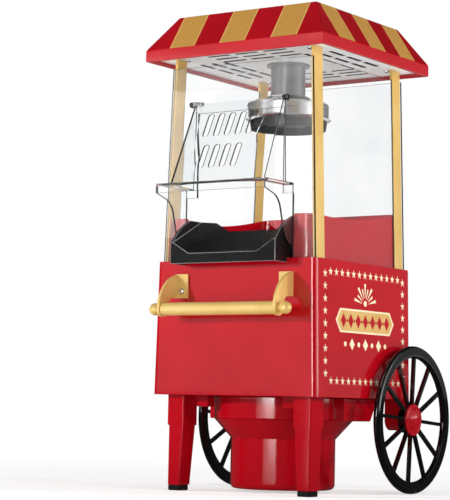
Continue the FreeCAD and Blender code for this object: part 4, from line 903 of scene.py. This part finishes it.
def stage_mesh(name, bm, material):
    """Turns a bmesh into a piece of the studio."""
    mesh = bpy.data.meshes.new(name)
    bm.to_mesh(mesh)
    bm.free()
    mesh.materials.append(material)
    thing = bpy.data.objects.new(name, mesh)
    bpy.context.scene.collection.objects.link(thing)
    return thing


def gloss_only(name, bm):
    thing = stage_mesh(name, bm, GLOSS_CARD)
    for way in ("camera", "diffuse", "volume_scatter", "shadow"):
        setattr(thing, "visible_" + way, False)


def strip(name, pairs, glows):
    """Curved card through pairs of points, with a glow at each pair."""
    bm = bmesh.new()
    layer = bm.verts.layers.float.new("glow")
    rungs = []
    for pair, glow in zip(pairs, glows):
        rung = []
        for point in pair:
            vert = bm.verts.new(point)
            vert[layer] = glow
            rung.append(vert)
        rungs.append(rung)
    for (a, b), (c, d) in zip(rungs, rungs[1:]):
        bm.faces.new((a, b, d, c))
    gloss_only(name, bm)


def card(name, azimuths, heights, glow, distance=CARD_DISTANCE):
    """Upright card round the object; its glow goes from the first value to the last along it."""
    start, end = azimuths
    first, last = glow
    steps = max(2, round((end - start) / CARD_STEP))
    pairs = []
    glows = []
    for index in range(steps + 1):
        share = index / steps
        point = toward(start + (end - start) * share, 0, distance)
        pairs.append([(point.x, point.y, height) for height in heights])
        glows.append(first * (last / first) ** share)
    strip(name, pairs, glows)


def arch(name, azimuths, elevations, glow, distance):
    """Strip over the object, from one elevation to another."""
    low, high = elevations
    pairs = []
    for index in range(ARCH_STEPS + 1):
        elevation = low + (high - low) * index / ARCH_STEPS
        pairs.append([toward(azimuth, elevation, distance) for azimuth in azimuths])
    strip(name, pairs, [glow] * len(pairs))


def sheet(name, height, radius, glow):
    """Flat round sheet."""
    bm = bmesh.new()
    layer = bm.verts.layers.float.new("glow")
    bmesh.ops.create_circle(bm, cap_ends=True, segments=SHEET_COUNT, radius=radius)
    for vert in bm.verts:
        vert.co.z = height
        vert[layer] = glow
    gloss_only(name, bm)


def sky(tree, strength):
    return add(tree, "Background", Color=PURE_WHITE, Strength=strength).outputs[0]


def studio_world():
    """White behind the object and through clear sheets; dimmer as fill light and in gloss."""
    world = bpy.data.worlds.new("studio")
    world.use_nodes = True
    bpy.context.scene.world = world
    tree = world.node_tree
    tree.nodes.clear()
    path = add(tree, "LightPath")
    mirrored = bounced(tree, path, "Glossy")
    straight = calc(tree, "SUBTRACT", 1.0, mirrored)
    seen = calc(tree, "MULTIPLY", path.outputs["Is Transmission Ray"], straight)
    seen = calc(tree, "MAXIMUM", seen, path.outputs["Is Camera Ray"])
    past_glass = calc(tree, "MULTIPLY_ADD", path.outputs["Is Transmission Ray"], PAST_GLASS, 1.0)
    unseen = mix_shaders(tree, mirrored, sky(tree, WORLD_FILL), sky(tree, WORLD_GLOSS))
    add(tree, "OutputWorld", Surface=mix_shaders(tree, seen, unseen, sky(tree, past_glass)))


def studio_floor():
    """Pale floor that keeps the shadow near the object and runs out to white."""
    material, tree, shader = blank("studio_floor")
    where = place(tree)
    pale = blend_colors(tree, noise(tree, where, scale=3, detail=2), FLOOR_DARK, FLOOR_LIGHT)
    plug(tree, shader.inputs["Base Color"], pale)
    shader.inputs["Roughness"].default_value = 0.5
    shader.inputs["Specular IOR Level"].default_value = 0.1
    path = add(tree, "LightPath")
    seen = calc(tree, "MAXIMUM", path.outputs["Is Camera Ray"], path.outputs["Is Transmission Ray"])
    shader.inputs["Emission Color"].default_value = PURE_WHITE
    plug(tree, shader.inputs["Emission Strength"], calc(tree, "MULTIPLY", seen, FLOOR_GLOW))
    away = add(tree, "VectorMath", {"operation": "LENGTH"}, Vector=where).outputs["Value"]
    far = add(tree, "MapRange", Value=away, From_Min=FAR_START, From_Max=FAR_END).outputs[0]
    scattered = bounced(tree, path, "Diffuse")
    glow = add(tree, "Emission", Strength=blend_values(tree, scattered, FAR_GLOW, BOUNCE_GLOW))
    resurface(tree, shader, glow, calc(tree, "MULTIPLY", far, calc(tree, "MAXIMUM", seen, scattered)))
    bm = bmesh.new()
    bmesh.ops.create_grid(bm, x_segments=1, y_segments=1, size=FLOOR_HALF)
    stage_mesh("studio_floor", bm, material)


lamp("key_front", azimuth=-36, elevation=8, size=0.05, power=18)
lamp("key_side", azimuth=114, elevation=14, size=0.12, power=9.5)
lamp("kicker", azimuth=76, elevation=12, size=0.2, power=4.5)
card("softbox_rise", azimuths=(-25, 6), heights=(0, SOFTBOX_TOP), glow=(0.35, 8.0))
card("softbox_front", azimuths=(6, 17.6), heights=(0, SOFTBOX_TOP), glow=(8.0, 9.0))
card("softbox_corner", azimuths=(-2, 17.6), heights=(0.12, 0.42), glow=(10.0, 22.0), distance=1.58)
card("softbox_left", azimuths=(-43, -34.4), heights=(0.36, 0.61), glow=(6.0, 3.5))
card("softbox_fascia", azimuths=(-39, -25), heights=(0.64, 0.8), glow=(0.1, 5.0))
card("softbox_side", azimuths=(92, 138), heights=(0.13, 0.5), glow=(6.0, 5.0))
arch("softbox_arch", azimuths=(4, 17.6), elevations=(45, 80), glow=7.0, distance=1.2)
card("flag_camera", azimuths=(17.6, 67), heights=(0, FLAG_TOP), glow=(0.02, 0.02))
card("flag_high", azimuths=(-25, 17.6), heights=(SOFTBOX_TOP, FLAG_TOP), glow=(0.3, 0.3))
card("flag_side", azimuths=(138, 180), heights=(0, SIDE_FLAG_TOP), glow=(0.28, 0.28))
card("flag_high_side", azimuths=(138, 180), heights=(SIDE_FLAG_TOP, FLAG_TOP), glow=(0.02, 0.02))
card("flag_left", azimuths=(-180, -43), heights=(0, FLAG_TOP), glow=(0.05, 0.05))
card("flag_low_left", azimuths=(-180, -6.5), heights=(0, NEAR_TOP), glow=(0.05, 0.05), distance=NEAR_R)
card("flag_low_right", azimuths=(20, 180), heights=(0, NEAR_TOP), glow=(0.05, 0.05), distance=NEAR_R)
sheet("flag_top", height=FLAG_TOP, radius=1.7, glow=0.05)
sheet("flag_floor", height=FLOOR_LIFT, radius=NEAR_R, glow=0.06)
studio_world()
studio_floor()
